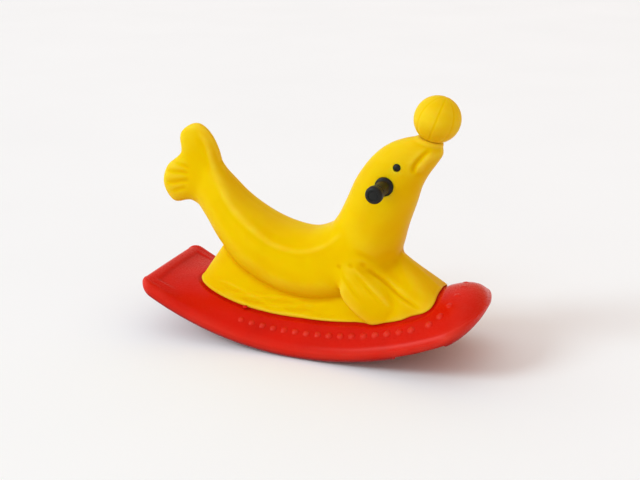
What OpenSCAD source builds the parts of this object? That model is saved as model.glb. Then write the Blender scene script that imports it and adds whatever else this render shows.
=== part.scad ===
// Rocking seal: a hollow moulded seal with a ball on its nose, on a curved rocker base.
// Millimetres. X runs along the toy towards the head, Z is up from the floor, and Y = 0 is the middle plane.

/* [Rocker base] */
// Length of the base, the longest piece
base_l = 850; // [840:2:860]
// Width of the base
base_w = 304; // [300:2:310]
// Radius of the curved sole
sole_r = 805; // [780:5:840]
// Where the sole touches the floor, measured forward from the middle
sole_x = -8; // [-14:1:6]
// Height of the rim above the sole
rim_h = 38; // [34:1:42]
// Rise of the foot deck from the rim to the middle
crown_h = 68; // [64:1:72]
// Radius of the rear corners, seen from above
rear_corner_r = 30; // [20:1:40]
// Length of the rounded front end
front_round = 70; // [60:1:80]
// Wall of the base
base_wall = 4; // [3:0.5:5]

/* [Seal body] */
// Wall of the moulding
seal_wall = 4; // [3:0.5:5]
// Half width of the plinth on the deck
plinth_half_w = 86; // [82:1:90]
// Half thickness of the tail fin
fin_half_t = 24; // [20:1:28]
// Wall of the tail fin, which the mould stretches least
fin_wall = 9; // [4:1:10]

/* [Ball] */
// Radius of the ball
ball_r = 54; // [52:1:56]
// Wall of the ball
ball_wall = 3; // [2.5:0.5:4]

/* [Handle and eyes] */
// Diameter of the bar through the head
bar_d = 12; // [10:1:14]
// Length of a grip
grip_l = 84; // [76:1:92]
// Diameter of a grip's collar
collar_d = 44; // [42:1:48]
// Diameter of a grip's end knob
knob_d = 41; // [38:1:44]
// Diameter of a grip's waist
waist_d = 30; // [26:1:34]
// Diameter of an eye
eye_d = 20; // [16:1:22]

/* [Fasteners] */
// Diameter of the base bolts
bolt_d = 8; // [6:1:8]
// Diameter of the bolt wells in the sole
well_d = 34; // [30:1:38]

/* [Hidden] */
$fn = 64;

yellow = "gold";
red = "crimson";
black = "#2a2a28";
steel = "silver";
// Clearances: fitted pieces, the turning bar, its collars, and the body on the deck
fit_gap = 0.05;
bar_gap = 0.08;
collar_gap = 0.4;
seat_gap = 0.2;

// Interpolation of rows: a smooth curve through every row of a list
function row(list, i) = list[min(max(i, 0), len(list) - 1)];
function spline(p0, p1, p2, p3, t) =
    0.5 * (2 * p1 + (p2 - p0) * t + (2 * p0 - 5 * p1 + 4 * p2 - p3) * t * t
        + (3 * p1 - p0 - 3 * p2 + p3) * t * t * t);
function along(list, u) =
    let (i = min(floor(u), len(list) - 2))
    spline(row(list, i - 1), row(list, i), row(list, i + 1), row(list, i + 2), u - i);
function around(list, u) =
    let (n = len(list), i = floor(u))
    spline(list[(i - 1 + n) % n], list[i % n], list[(i + 1) % n], list[(i + 2) % n], u - i);

// Signed power, for superellipses
function spow(v, p) = sign(v) * pow(abs(v), p);

// A closed skin over rings that all have the same number of points, with a fan at each end
module skin(rings) {
    n = len(rings[0]);
    m = len(rings);
    mid = function (r) [for (k = [0:2]) (min([for (p = r) p[k]]) + max([for (p = r) p[k]])) / 2];
    points = concat([for (r = rings) each r], [mid(rings[0]), mid(rings[m - 1])]);
    sides = [for (k = [0:m - 2]) for (i = [0:n - 1]) let (j = (i + 1) % n)
        each [[k * n + i, (k + 1) * n + i, k * n + j], [k * n + j, (k + 1) * n + i, (k + 1) * n + j]]];
    first = [for (i = [0:n - 1]) [n * m, i, (i + 1) % n]];
    last = [for (i = [0:n - 1]) [n * m + 1, (m - 1) * n + (i + 1) % n, (m - 1) * n + i]];
    polyhedron(points, concat(sides, first, last));
}

// Rocker base: sole, rim and deck
half_l = base_l / 2;
half_w = base_w / 2;
rear_x = -half_l + rear_corner_r;
front_x = half_l - front_round;
rim_t = 10;
rear_round = 26;
nose_round = 90;
rear_fall = 1.4;
front_fall = 12;
// The sole is an arc in short flats, of which the lowest lies on the floor
sole_flat = 26;
function arc_rise(dx) = sole_r - sqrt(sole_r * sole_r - dx * dx);
function sole(x) = arc_rise(x - sole_x) - arc_rise(sole_flat / 2);
function crown(x) = crown_h * (1 - pow(min(abs(x) / half_l, 1), x < 0 ? rear_fall : front_fall));

// Half width of the plan at x: square corners at the rear, an ellipse at the front
function plan(x) =
    x > front_x ? half_w * sqrt(max(1 - pow((x - front_x) / front_round, 2), 0)) :
    let (e = x + half_l)
    e < rear_corner_r ? half_w - rear_corner_r
        + sqrt(max(pow(rear_corner_r, 2) - pow(rear_corner_r - e, 2), 0)) : half_w;

// Height of the deck, which is crowned across the base
function swell(x, y) = crown(x) * (1 - pow(y / max(plan(x) - rim_t, 1), 2));
function deck(x, y) = sole(x) + rim_h + swell(x, y);

// How far the section has closed at x: 0 along the base, 1 at its two rounded ends
function closing(x) =
    let (reach = x < 0 ? rear_round : nose_round, e = min(max(half_l - abs(x), 0), reach))
    1 - sqrt(1 - pow(1 - e / reach, 2));

// One section of the base at x, from the sole's middle round by +Y to the deck and back
sole_edge_r = 16;
deck_edge_w = 12;
end_share = 0.92;
deck_places = [0.86, 0.7, 0.5, 0.25, 0];
function base_section(x, t) =
    let (
        w = max(plan(x) - t, 1),
        full_h = rim_h - 2 * t,
        z0 = sole(x) + t + 0.5 * full_h * closing(x),
        h = full_h * (1 - end_share * closing(x)),
        r = min(sole_edge_r, w / 3, 0.42 * h),
        edge = min(deck_edge_w, w / 3),
        side = [
            [0, 0], [w / 2, 0], [w - r, 0], [w - 0.3 * r, 0.3 * r], [w, r], [w, 0.66 * h],
            [w - 0.3 * edge, 0.88 * h], [w - edge, h]
        ],
        top = [for (f = deck_places)
            let (y = (w - edge) * f) [y, h + swell(x, y)]],
        half = concat(side, top),
        last = len(half) - 1
    )
    concat(
        [for (i = [0:last]) [x, half[i][0], z0 + half[i][1]]],
        [for (i = [last - 1:-1:1]) [x, -half[i][0], z0 + half[i][1]]]
    );

function base_stations(step, inset) = concat(
    [for (a = [0:15:75]) -half_l + inset + rear_corner_r * (1 - cos(a))],
    [for (k = [ceil((rear_x + inset - sole_x) / step - 0.4):floor((front_x - sole_x) / step - 0.7)])
        sole_x + (k + 0.5) * step],
    [for (a = [0:11:88]) front_x + (front_round - inset) * sin(a)]
);
module base_skin(step, inset, t) {
    skin([for (x = base_stations(step, inset)) base_section(x, t)]);
}

// Four bolts hold the seal on the deck; each comes up from a well in the sole
bolt_x = [-210, 130];
bolt_y = 32;
seat_t = 12;
drill_l = 200;
module each_bolt() {
    for (x = bolt_x) for (y = [-bolt_y, bolt_y]) translate([x, y, deck(x, y)]) children();
}

// Shallow lifting recess under each front edge of the sole; it ends in a stop lug at the corner
recess_from = 240;
recess_to = 362;
recess_t = 8;
recess_w = 26;
module front_recess(wall) {
    a0 = asin((recess_from - sole_x) / sole_r);
    a1 = asin((recess_to - sole_x) / sole_r);
    spare = asin(wall / sole_r);
    for (side = [0, 1]) mirror([0, side, 0])
        translate([sole_x, half_w - recess_w - wall, sole_r])
            rotate([-90, 0, 0]) rotate([0, 0, 90 - a1 - spare])
                rotate_extrude(angle = a1 - a0 + 2 * spare, $fn = 128)
                    translate([sole_r - recess_t - wall, 0])
                        square([recess_t + wall + 20, recess_w + wall + 10]);
}

module rocker_base() {
    color(red) difference() {
        base_skin(sole_flat, 0, 0);
        difference() {
            base_skin(2 * sole_flat, base_wall + 2, base_wall);
            each_bolt() translate([0, 0, -drill_l]) cylinder(d = well_d + 2 * base_wall, h = 1.2 * drill_l);
            front_recess(base_wall);
        }
        each_bolt() {
            translate([0, 0, -drill_l]) cylinder(d = well_d, h = drill_l - seat_t);
            translate([0, 0, -drill_l]) cylinder(d = bolt_d + 1, h = 2 * drill_l);
        }
        front_recess(0);
    }
}

// Ribs of the trunk, tail to nose: back point x z, belly point x z, half width, height of the widest point,
// and shape of the top, which is flatter along the seat
ribs = [
    [-300, 456, -352, 374, 16, 0.5, 2.8],
    [-268, 438, -332, 326, 30, 0.5, 3],
    [-230, 384, -296, 283, 49, 0.5, 3.2],
    [-190, 344, -255, 228, 65, 0.48, 3.2],
    [-135, 310, -195, 168, 80, 0.45, 3],
    [-75, 290, -105, 124, 88, 0.4, 2.8],
    [-15, 286, -15, 106, 91, 0.39, 2.6],
    [34, 306, 68, 114, 92, 0.42, 2.4],
    [54, 330, 150, 150, 92, 0.45, 2.3],
    [67, 355, 201, 232, 88, 0.48, 2.2],
    [81, 387, 225, 318, 78, 0.5, 2.2],
    [97, 425, 240, 374, 68, 0.5, 2.2],
    [118, 459, 255, 416, 60, 0.5, 2.2],
    [144, 490, 271, 448, 54, 0.5, 2.2],
    [174, 513, 286, 475, 48, 0.5, 2.2],
    [206, 527, 297, 502, 40, 0.5, 2.2],
    [237, 535, 300, 524, 29, 0.5, 2.2]
];
belly_shape = 2.2;
function rib_ring(r, inset, n) =
    let (
        back = [r[0], r[1]],
        belly = [r[2], r[3]],
        depth = norm(back - belly),
        up = (back - belly) / depth,
        mid = belly + r[5] * (back - belly),
        w = max(r[4] - inset, 2),
        h_up = max((1 - r[5]) * depth - inset, 2),
        h_dn = max(r[5] * depth - inset, 2)
    )
    [for (i = [0:n - 1])
        let (
            a = 360 * i / n,
            shape = sin(a) > 0 ? r[6] : belly_shape,
            y = w * spow(cos(a), 2 / shape),
            v = (sin(a) > 0 ? h_up : h_dn) * spow(sin(a), 2 / shape)
        )
        [mid[0] + up[0] * v, y, mid[1] + up[1] * v]];

// The wall thins from the tail to the head. The hollow stops one rib short of the nose, which is left
// solid to carry the ball
tail_wall_share = 1.25;
head_wall_share = 0.75;
function wall_share(u) = tail_wall_share + (head_wall_share - tail_wall_share) * u / (len(ribs) - 1);
module trunk(wall, per_rib, n) {
    last = len(ribs) - (wall > 0 ? 2 : 1);
    skin([for (k = [0:last * per_rib]) let (u = k / per_rib)
        rib_ring(along(ribs, u), wall * wall_share(u), n)]);
}

// Tail fin: a pillow on a two-lobed outline in the plane of symmetry, drawn from its middle
fin_mid = [-322, 412];
fin_outline = [
    [-258, 428], [-282, 492], [-322, 522], [-367, 496], [-369, 445], [-411, 405], [-423, 356], [-395, 314],
    [-346, 321], [-300, 304], [-264, 345]
];
fin_rings = [1, 0.97, 0.88, 0.7, 0.4];
function fin_ring(s, side, inset, n) =
    let (y = side * max(fin_half_t - inset, 1) * sqrt(1 - pow(s, 4)))
    [for (i = [0:n - 1])
        let (
            p = around(fin_outline, i * len(fin_outline) / n) - fin_mid,
            reach = max(norm(p) - inset, 1) / norm(p)
        )
        [fin_mid[0] + s * reach * p[0], y, fin_mid[1] + s * reach * p[1]]];
module fin(inset, n) {
    last = len(fin_rings) - 1;
    skin(concat(
        [for (k = [last:-1:0]) fin_ring(fin_rings[k], 1, inset, n)],
        [for (k = [1:last]) fin_ring(fin_rings[k], -1, inset, n)]
    ));
}

// Plinth: from its foot on the deck up into the trunk
plinth_x = -10;
plinth_rear = 308;
plinth_front = 327;
plinth_top_x = -22;
plinth_top_rear = 221;
plinth_top_front = 202;
plinth_top_half_w = 54;
// How much wider the foot and the top are below the flippers, and how far the wall swells out between them
plinth_flare = 11;
plinth_top_flare = 4;
plinth_swell = 8;
plinth_top_z = 178;
plinth_rear_rise = 57;
plinth_front_rise = 97;
plinth_sink = 8;
// The moulding is thickest where it meets the deck: at its floor and at the sloping front
plinth_floor_share = 1.5;
plinth_slant = 2.8;
plinth_floor_rings = [0.35, 0.7, 1];
plinth_wall_step = 0.25;
// Places round the plinth, moved towards its two ends, where it curves most
plinth_crowd = 14;
plinth_front_shape = 4.5;
plinth_rear_shape = 2.7;
function plinth_place(i, n) = 360 * i / n + plinth_crowd * sin(720 * i / n);
function plinth_unit(a) =
    let (p = 2 / (cos(a) > 0 ? plinth_front_shape : plinth_rear_shape))
    [spow(cos(a), p), spow(sin(a), p)];
// 0 along the rear of the plinth, 1 below the flippers
flare_from = 0.4;
flare_to = 0.6;
function plinth_ahead(u) =
    let (t = min(max((u - flare_from) / (flare_to - flare_from), 0), 1))
    t * t * (3 - 2 * t);
function plinth_foot(a, inset) =
    let (
        u = plinth_unit(a),
        reach = u[0] < 0 ? plinth_rear : plinth_front,
        w = plinth_half_w + plinth_flare * plinth_ahead(u[0])
    )
    [plinth_x + (reach - plinth_slant * inset) * u[0], (w - plinth_floor_share * inset) * u[1]];
function plinth_top(a, inset) =
    let (
        u = plinth_unit(a),
        reach = u[0] < 0 ? plinth_top_rear : plinth_top_front,
        rise = u[0] < 0 ? plinth_rear_rise : plinth_front_rise,
        w = plinth_top_half_w + plinth_top_flare * plinth_ahead(u[0])
    )
    [
        plinth_top_x + (reach - inset) * u[0],
        (w - inset) * u[1],
        plinth_top_z + rise * u[0] * u[0] - inset
    ];
function plinth_floor(x, y, inset) =
    deck(x, y) + (inset > 0 ? plinth_floor_share * inset : -plinth_sink);
function plinth_floor_ring(s, inset, n) = [for (i = [0:n - 1])
    let (p = plinth_foot(plinth_place(i, n), inset), x = plinth_x + s * (p[0] - plinth_x), y = s * p[1])
    [x, y, plinth_floor(x, y, inset)]];
function plinth_wall_ring(t, inset, n) = [for (i = [0:n - 1])
    let (
        a = plinth_place(i, n),
        u = plinth_unit(a),
        p = plinth_foot(a, inset),
        foot = [p[0], p[1], deck(p[0], p[1]) + inset],
        out = plinth_swell * 4 * t * (1 - t) * plinth_ahead(u[0]) * pow(u[1], 3)
    )
    foot + t * (plinth_top(a, inset) - foot) + [0, out, 0]];
module plinth(inset, n) {
    skin(concat(
        [for (s = plinth_floor_rings) plinth_floor_ring(s, inset, n)],
        [for (t = [inset > 0 ? plinth_wall_step : 0:plinth_wall_step:1]) plinth_wall_ring(t, inset, n)]
    ));
}

// Fore flipper: a broad leaf from the shoulder down to the deck, with a solid tip.
// Each row: x y z, half width, half thickness
flipper_ribs = [
    [94, 74, 262, 20, 12],
    [114, 79, 242, 44, 16],
    [140, 82, 215, 57, 15],
    [170, 83, 188, 63, 13],
    [200, 84, 160, 65, 11],
    [224, 85, 138, 60, 9],
    [240, 86, 124, 46, 6]
];
flipper_lean = 48;
flipper_tuck = 0.28;
// Share of the half width on the front side, where the leaf runs into the plinth
flipper_front = 0.5;
function flipper_ring(r, inset, n) = [for (i = [0:n - 1])
    let (
        a = 360 * i / n,
        v = (r[3] * (cos(a) > 0 ? flipper_front : 1) - inset) * cos(a),
        y = max(r[4] - inset, 1) * sin(a)
    )
    [r[0] + v * cos(flipper_lean), r[1] - flipper_tuck * v - y, r[2] + v * sin(flipper_lean)]];
module flipper(inset, per_rib, n) {
    first = inset > 0 ? 1 : 0;
    last = len(flipper_ribs) - (inset > 0 ? 3 : 1);
    skin([for (k = [first * per_rib:last * per_rib])
        flipper_ring(along(flipper_ribs, k / per_rib), inset, n)]);
}
module both_flippers(inset, per_rib, n) {
    for (side = [0, 1]) mirror([0, side, 0]) flipper(inset, per_rib, n);
}

// Places on the head
bar_x = 182;
bar_z = 426;
collar_y = 57;
eye_x = 209;
eye_z = 471;
eye_y = 50;
eye_stem_d = 6;
ball_pos = [286, 0, 578.5];
nose_lean = 20;
peg_d = 16;
module at_side(side, x, y, z) {
    mirror([0, side < 0 ? 1 : 0, 0]) translate([x, y, z]) rotate([-90, 0, 0]) children();
}
module both_sides(x, y, z) {
    for (side = [-1, 1]) at_side(side, x, y, z) children();
}
module on_nose() {
    translate(ball_pos) rotate([0, nose_lean, 0]) children();
}

// The seal's outside, seated on the deck, and its hollow
module seal_outside() {
    difference() {
        union() {
            trunk(0, 3, 28);
            fin(0, 44);
            plinth(0, 48);
            both_flippers(0, 2, 20);
        }
        translate([0, 0, seat_gap]) base_skin(sole_flat, 0, 0);
    }
}
module seal_hollow() {
    trunk(seal_wall, 2, 20);
    fin(fin_wall, 24);
    plinth(seal_wall, 24);
    both_flippers(seal_wall, 1, 12);
}

// Joins lofts into one skin, at the size that they are drawn
as_drawn = [0, 0, 0];
boss_d = 34;
boss_h = 12;
boss_t = 10;
insert_d = 16;
// Length of the cuts into the head, the depth at which its bores start, and the depth of the peg's bore
cut_l = 60;
bore_y = 20;
peg_depth = 40;
module seal_body() {
    color(yellow) difference() {
        resize(as_drawn) seal_outside();
        difference() {
            resize(as_drawn) seal_hollow();
            each_bolt() translate([0, 0, -boss_h]) cylinder(d = boss_d, h = 2 * boss_h);
            both_sides(bar_x, collar_y - boss_t, bar_z) cylinder(d = collar_d + boss_t, h = cut_l);
            both_sides(eye_x, eye_y - boss_t, eye_z) cylinder(d = eye_d + boss_t, h = cut_l);
        }
        each_bolt() translate([0, 0, -2 * boss_h]) cylinder(d = insert_d, h = 4 * boss_h);
        both_sides(bar_x, collar_y, bar_z) cylinder(d = collar_d + 1, h = cut_l);
        both_sides(bar_x, bore_y, bar_z) cylinder(d = bar_d + 2 * bar_gap, h = cut_l);
        both_sides(eye_x, eye_y, eye_z) cylinder(d = eye_d + 4 * fit_gap, h = cut_l);
        both_sides(eye_x, bore_y, eye_z) cylinder(d = eye_stem_d + 2 * fit_gap, h = cut_l);
        translate(ball_pos) sphere(r = ball_r + seat_gap);
        on_nose() translate([0, 0, -ball_r - peg_depth]) cylinder(d = peg_d, h = cut_l);
    }
}

module ball() {
    color(yellow) difference() {
        translate(ball_pos) sphere(r = ball_r);
        translate(ball_pos) sphere(r = ball_r - ball_wall);
        on_nose() translate([0, 0, -ball_r - cut_l / 2]) cylinder(d = peg_d, h = cut_l);
    }
}

// Snap peg: a tube through both walls, with a barb behind each
peg_r = peg_d / 2 - fit_gap;
peg_wall = 3;
barb = 1.2;
barb_l = 5;
nose_t = 20;
module ball_peg() {
    top = -ball_r + ball_wall + 1;
    low = -ball_r - nose_t;
    color(yellow) on_nose() rotate_extrude() polygon([
        [peg_r - peg_wall, low - barb_l], [peg_r - 1, low - barb_l], [peg_r + barb, low], [peg_r, low],
        [peg_r, top], [peg_r + barb, top], [peg_r - 1, top + barb_l], [peg_r - peg_wall, top + barb_l]
    ]);
}

// Eye: a domed button on a stem
eye_rise = 8;
eye_stem_l = 14;
module eye() {
    flank = 2;
    dome_h = eye_rise - flank;
    dome_r = (pow(eye_d / 2, 2) + pow(dome_h, 2)) / (2 * dome_h);
    color(black) union() {
        cylinder(d = eye_d, h = flank);
        intersection() {
            translate([0, 0, eye_rise - dome_r]) sphere(r = dome_r);
            cylinder(d = eye_d, h = eye_rise);
        }
        translate([0, 0, -eye_stem_l]) cylinder(d = eye_stem_d, h = eye_stem_l);
    }
}
module eye_left() { at_side(1, eye_x, eye_y, eye_z) eye(); }
module eye_right() { at_side(-1, eye_x, eye_y, eye_z) eye(); }

// Handle: a tube through the head, and on each end a grip, a screw and a cap
grip_y = collar_y + collar_gap;
cap_d = 22;
cap_t = 3;
head_t = 4;
end_t = 6;
screw_d = 8;
screw_l = 18;
screw_head_d = 14;
screw_top_d = 12;
socket_d = 5.8;
socket_floor = 1.5;
bore_l = grip_l - end_t - head_t - cap_t;
bar_half_l = grip_y + bore_l - 0.2;
module handle_bar() {
    color(steel) translate([bar_x, 0, bar_z]) rotate([-90, 0, 0]) difference() {
        translate([0, 0, -bar_half_l]) cylinder(d = bar_d, h = 2 * bar_half_l);
        translate([0, 0, -bar_half_l - 1]) cylinder(d = screw_d + 2 * fit_gap, h = 2 * bar_half_l + 2);
    }
}

collar_t = 8;
knob_l = 24;
edge_r = 4;
module grip() {
    collar_r = collar_d / 2;
    knob_r = knob_d / 2;
    waist_r = waist_d / 2;
    knob_z = grip_l - knob_l;
    color(black) difference() {
        rotate_extrude() polygon(concat(
            [[0, 0], [collar_r - edge_r / 2, 0], [collar_r, edge_r / 2]],
            [for (a = [0:30:90]) [collar_r - edge_r * (1 - cos(a)), collar_t - edge_r * (1 - sin(a))]],
            [[waist_r + 3, collar_t + 1], [waist_r, collar_t + 6]],
            [[waist_r + 0.6, (collar_t + knob_z) / 2], [waist_r, knob_z - 7], [waist_r + 2.5, knob_z - 2]],
            [for (a = [-90:30:90])
                [knob_r - 2 * edge_r * (1 - cos(a)),
                    (a < 0 ? knob_z + 2 * edge_r : grip_l - 2 * edge_r) + 2 * edge_r * sin(a)]],
            [[0, grip_l]]
        ));
        translate([0, 0, -1]) cylinder(d = bar_d + 2 * fit_gap, h = bore_l + 1);
        cylinder(d = screw_d + 0.4, h = grip_l);
        translate([0, 0, bore_l + end_t]) cylinder(d = cap_d, h = grip_l);
    }
}
module grip_left() { at_side(1, bar_x, grip_y, bar_z) grip(); }
module grip_right() { at_side(-1, bar_x, grip_y, bar_z) grip(); }

module grip_screws() {
    color(steel) both_sides(bar_x, grip_y + bore_l + end_t, bar_z) {
        difference() {
            cylinder(d1 = screw_head_d, d2 = screw_top_d, h = head_t - collar_gap);
            translate([0, 0, socket_floor]) cylinder(d = socket_d, h = head_t, $fn = 6);
        }
        translate([0, 0, -screw_l]) cylinder(d = screw_d, h = screw_l);
    }
}

module grip_cap() {
    color(black) difference() {
        cylinder(d = cap_d - 2 * fit_gap, h = head_t + cap_t);
        translate([0, 0, -1]) cylinder(d = cap_d - 6, h = head_t + 1);
    }
}
module grip_cap_left() { at_side(1, bar_x, grip_y + bore_l + end_t, bar_z) grip_cap(); }
module grip_cap_right() { at_side(-1, bar_x, grip_y + bore_l + end_t, bar_z) grip_cap(); }

// Base fastening, from the well up: plug, bolt head, washer, deck, boss, threaded insert
washer_d = 24;
washer_t = 1.6;
bolt_head_d = 15;
bolt_head_h = 5.5;
flange_d = 24;
flange_t = 3;
insert_low = 3;
module base_bolts() {
    color(steel) each_bolt() translate([0, 0, -seat_t - washer_t]) {
        translate([0, 0, -bolt_head_h]) cylinder(d = bolt_head_d, h = bolt_head_h, $fn = 6);
        cylinder(d = bolt_d, h = washer_t + seat_t + boss_h);
    }
}

module bolt_washers() {
    color(steel) each_bolt() translate([0, 0, -seat_t - washer_t]) difference() {
        cylinder(d = washer_d, h = washer_t);
        translate([0, 0, -1]) cylinder(d = bolt_d + 0.4, h = washer_t + 2);
    }
}

module plinth_inserts() {
    color(steel) each_bolt() difference() {
        union() {
            translate([0, 0, insert_low]) cylinder(d = insert_d - 2 * fit_gap, h = boss_h - insert_low);
            translate([0, 0, boss_h]) cylinder(d = flange_d, h = flange_t);
        }
        cylinder(d = bolt_d + 2 * fit_gap, h = boss_h + flange_t + 1);
    }
}

plug_t = 3;
plug_skirt = 12;
plug_rise = 6;
plug_wall = 2.5;
module sole_plug() {
    d = well_d - 4 * fit_gap;
    difference() {
        cylinder(d = d, h = plug_skirt);
        translate([0, 0, plug_t]) cylinder(d = d - 2 * plug_wall, h = plug_skirt);
    }
}
module sole_plugs() {
    color(black) for (x = bolt_x) for (y = [-bolt_y, bolt_y])
        translate([x, y, sole(x) + plug_rise]) sole_plug();
}

rocker_base();
seal_body();
ball();
ball_peg();
eye_left();
eye_right();
handle_bar();
grip_left();
grip_right();
grip_screws();
grip_cap_left();
grip_cap_right();
base_bolts();
bolt_washers();
plinth_inserts();
sole_plugs();
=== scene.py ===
"""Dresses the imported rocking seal: its moulded skins, its finishes, and the studio that shows them.

Sizes are in millimetres, as on a drawing, and turn into metres where a mesh is made. X runs along the toy
towards the head, Z is up from the floor, and Y = 0 is the middle plane.
"""

import logging
import math
from abc import ABC, abstractmethod
from collections.abc import Callable
from dataclasses import dataclass
from enum import Enum

import bpy
import numpy as np
from mathutils import Matrix, Vector


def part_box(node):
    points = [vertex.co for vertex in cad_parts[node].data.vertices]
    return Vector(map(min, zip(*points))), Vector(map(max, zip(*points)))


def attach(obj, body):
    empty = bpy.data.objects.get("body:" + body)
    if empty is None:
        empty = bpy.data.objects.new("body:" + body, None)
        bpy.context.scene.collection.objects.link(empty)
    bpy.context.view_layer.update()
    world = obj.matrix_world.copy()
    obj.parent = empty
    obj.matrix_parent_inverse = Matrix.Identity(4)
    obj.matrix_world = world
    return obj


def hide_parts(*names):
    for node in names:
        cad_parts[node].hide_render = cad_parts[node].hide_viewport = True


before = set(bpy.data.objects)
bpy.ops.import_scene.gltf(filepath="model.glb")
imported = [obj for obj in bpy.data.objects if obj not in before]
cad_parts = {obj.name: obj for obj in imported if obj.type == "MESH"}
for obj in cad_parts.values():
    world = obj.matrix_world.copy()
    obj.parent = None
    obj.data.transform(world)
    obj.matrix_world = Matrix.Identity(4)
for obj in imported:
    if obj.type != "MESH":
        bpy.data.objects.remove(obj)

MM = 0.001
# Points that lie nearer than this are one point
WELD = 0.001 * MM
# Edges sharper than this stay crisp
CREASE = math.radians(40)
# The attribute that says how far a point stands out, by which the finishes paint shade into hollows and a
# highlight onto edges, and how often the skin is smoothed to measure it
FOLD = "fold"
FOLD_ROUNDS = 16
log = logging.getLogger("rocking_seal")

Row = tuple[float, ...]
Rows = tuple[Row, ...]


class Body(Enum):
    """The bodies of the frame that pieces ride on."""

    ROCKER = "rocker"
    HANDLE = "handle"


class Slot(Enum):
    """The record's material slots."""

    YELLOW = "yellow_plastic"
    RED = "red_plastic"
    BLACK = "black_plastic"
    ZINC = "zinc_steel"


class Side(Enum):
    """The two sides of the middle plane, by the sign of Y."""

    LEFT = 1
    RIGHT = -1


class Join(Enum):
    """How one mesh is worked into another."""

    CUT = "DIFFERENCE"
    ADD = "UNION"


# Numbers and curves


def linear(code: str) -> tuple[float, float, float, float]:
    """Turns an sRGB hex colour into a linear one.

    Args:
        code: six hex digits after a hash sign.

    Returns:
        Red, green, blue and alpha, from 0 to 1.
    """
    parts = [int(code[k:k + 2], 16) / 255 for k in (1, 3, 5)]
    red, green, blue = (p / 12.92 if p <= 0.04045 else ((p + 0.055) / 1.055) ** 2.4 for p in parts)
    return red, green, blue, 1.0


def ease(value: np.ndarray, start: float, end: float) -> np.ndarray:
    """Rises smoothly from 0 at start to 1 at end."""
    t = np.clip((value - start) / (end - start), 0, 1)
    return t * t * (3 - 2 * t)


def bulge(value: np.ndarray, power: float) -> np.ndarray:
    """Raises to a power and keeps the sign, as a superellipse needs."""
    return np.sign(value) * np.abs(value) ** power


def through(rows: np.ndarray, steps: int, closed: bool = False) -> np.ndarray:
    """Runs a smooth curve through rows of numbers.

    Args:
        rows: the rows, in order.
        steps: steps from each row to the next.
        closed: whether the curve returns to its first row.

    Returns:
        The rows along the curve, in order.
    """
    count = len(rows)
    spans = count if closed else count - 1
    place = np.arange(spans * steps + (0 if closed else 1)) / steps
    first = np.minimum(place.astype(int), spans - 1)
    t = (place - first)[:, None]

    def pick(k: int) -> np.ndarray:
        """Rows at k places after the first of each span."""
        at = first + k
        return rows[at % count] if closed else rows[np.clip(at, 0, count - 1)]

    p0, p1, p2, p3 = (pick(k) for k in (-1, 0, 1, 2))
    return 0.5 * (
        2 * p1
        + (p2 - p0) * t
        + (2 * p0 - 5 * p1 + 4 * p2 - p3) * t**2
        + (3 * p1 - p0 - 3 * p2 + p3) * t**3
    )


def beside(flat: np.ndarray, path: np.ndarray) -> tuple[np.ndarray, np.ndarray]:
    """Measures points against a path in the plane.

    Args:
        flat: the points, one row each.
        path: the corners of the path, one row each.

    Returns:
        How far each point lies from the path, and how far along it, from 0 to 1, it is nearest.
    """
    away = np.full(len(flat), np.inf)
    along = np.zeros(len(flat))
    for k, (start, end) in enumerate(zip(path[:-1], path[1:])):
        run = end - start
        t = np.clip((flat - start) @ run / (run @ run), 0, 1)
        gap = np.linalg.norm(flat - start - t[:, None] * run, axis=1)
        nearer = gap < away
        away[nearer] = gap[nearer]
        along[nearer] = ((k + t) / (len(path) - 1))[nearer]
    return away, along


def arc(r: float, z: float, size: float, start: float, end: float, count: int = 10) -> list[Row]:
    """Rounds an edge of a profile.

    Args:
        r: distance of the arc's middle from the axis.
        z: height of its middle.
        size: its radius.
        start: degrees where it begins, 0 being outwards and 90 up.
        end: degrees where it ends.
        count: points along it.

    Returns:
        Radius and height of each point.
    """
    angles = np.radians(np.linspace(start, end, count))
    return [(r + size * math.cos(a), z + size * math.sin(a)) for a in angles]


# Modelling


def select_only(*pieces: bpy.types.Object) -> None:
    """Selects these objects alone and makes the first one active.

    Args:
        pieces: the objects.
    """
    bpy.ops.object.select_all(action="DESELECT")
    for piece in pieces:
        piece.select_set(True)
    bpy.context.view_layer.objects.active = pieces[0]


def primitive(kind: str, **settings: object) -> bpy.types.Object:
    """Adds a mesh primitive with nothing else selected.

    Args:
        kind: the primitive's name in its operator.
        settings: the operator's settings.

    Returns:
        The new object.
    """
    bpy.ops.object.select_all(action="DESELECT")
    getattr(bpy.ops.mesh, f"primitive_{kind}_add")(**settings)
    return bpy.context.object


def apply(piece: bpy.types.Object, kind: str, **settings: object) -> None:
    """Adds a modifier with its settings and applies it at once.

    Args:
        piece: the object.
        kind: the modifier's type.
        settings: the modifier's properties.
    """
    select_only(piece)
    modifier = piece.modifiers.new(kind.title(), kind)
    for name, value in settings.items():
        setattr(modifier, name, value)
    bpy.ops.object.modifier_apply(modifier=modifier.name)


def points_of(piece: bpy.types.Object, what: str = "co") -> np.ndarray:
    """Reads a mesh's points.

    Args:
        piece: the object.
        what: "co" for their places or "normal" for their normals.

    Returns:
        One row for each point.
    """
    rows = np.empty(len(piece.data.vertices) * 3)
    piece.data.vertices.foreach_get(what, rows)
    return rows.reshape(-1, 3)


def move_points(piece: bpy.types.Object, rows: np.ndarray) -> None:
    """Puts a mesh's points at new places."""
    piece.data.vertices.foreach_set("co", rows.ravel())
    piece.data.update()


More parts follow.
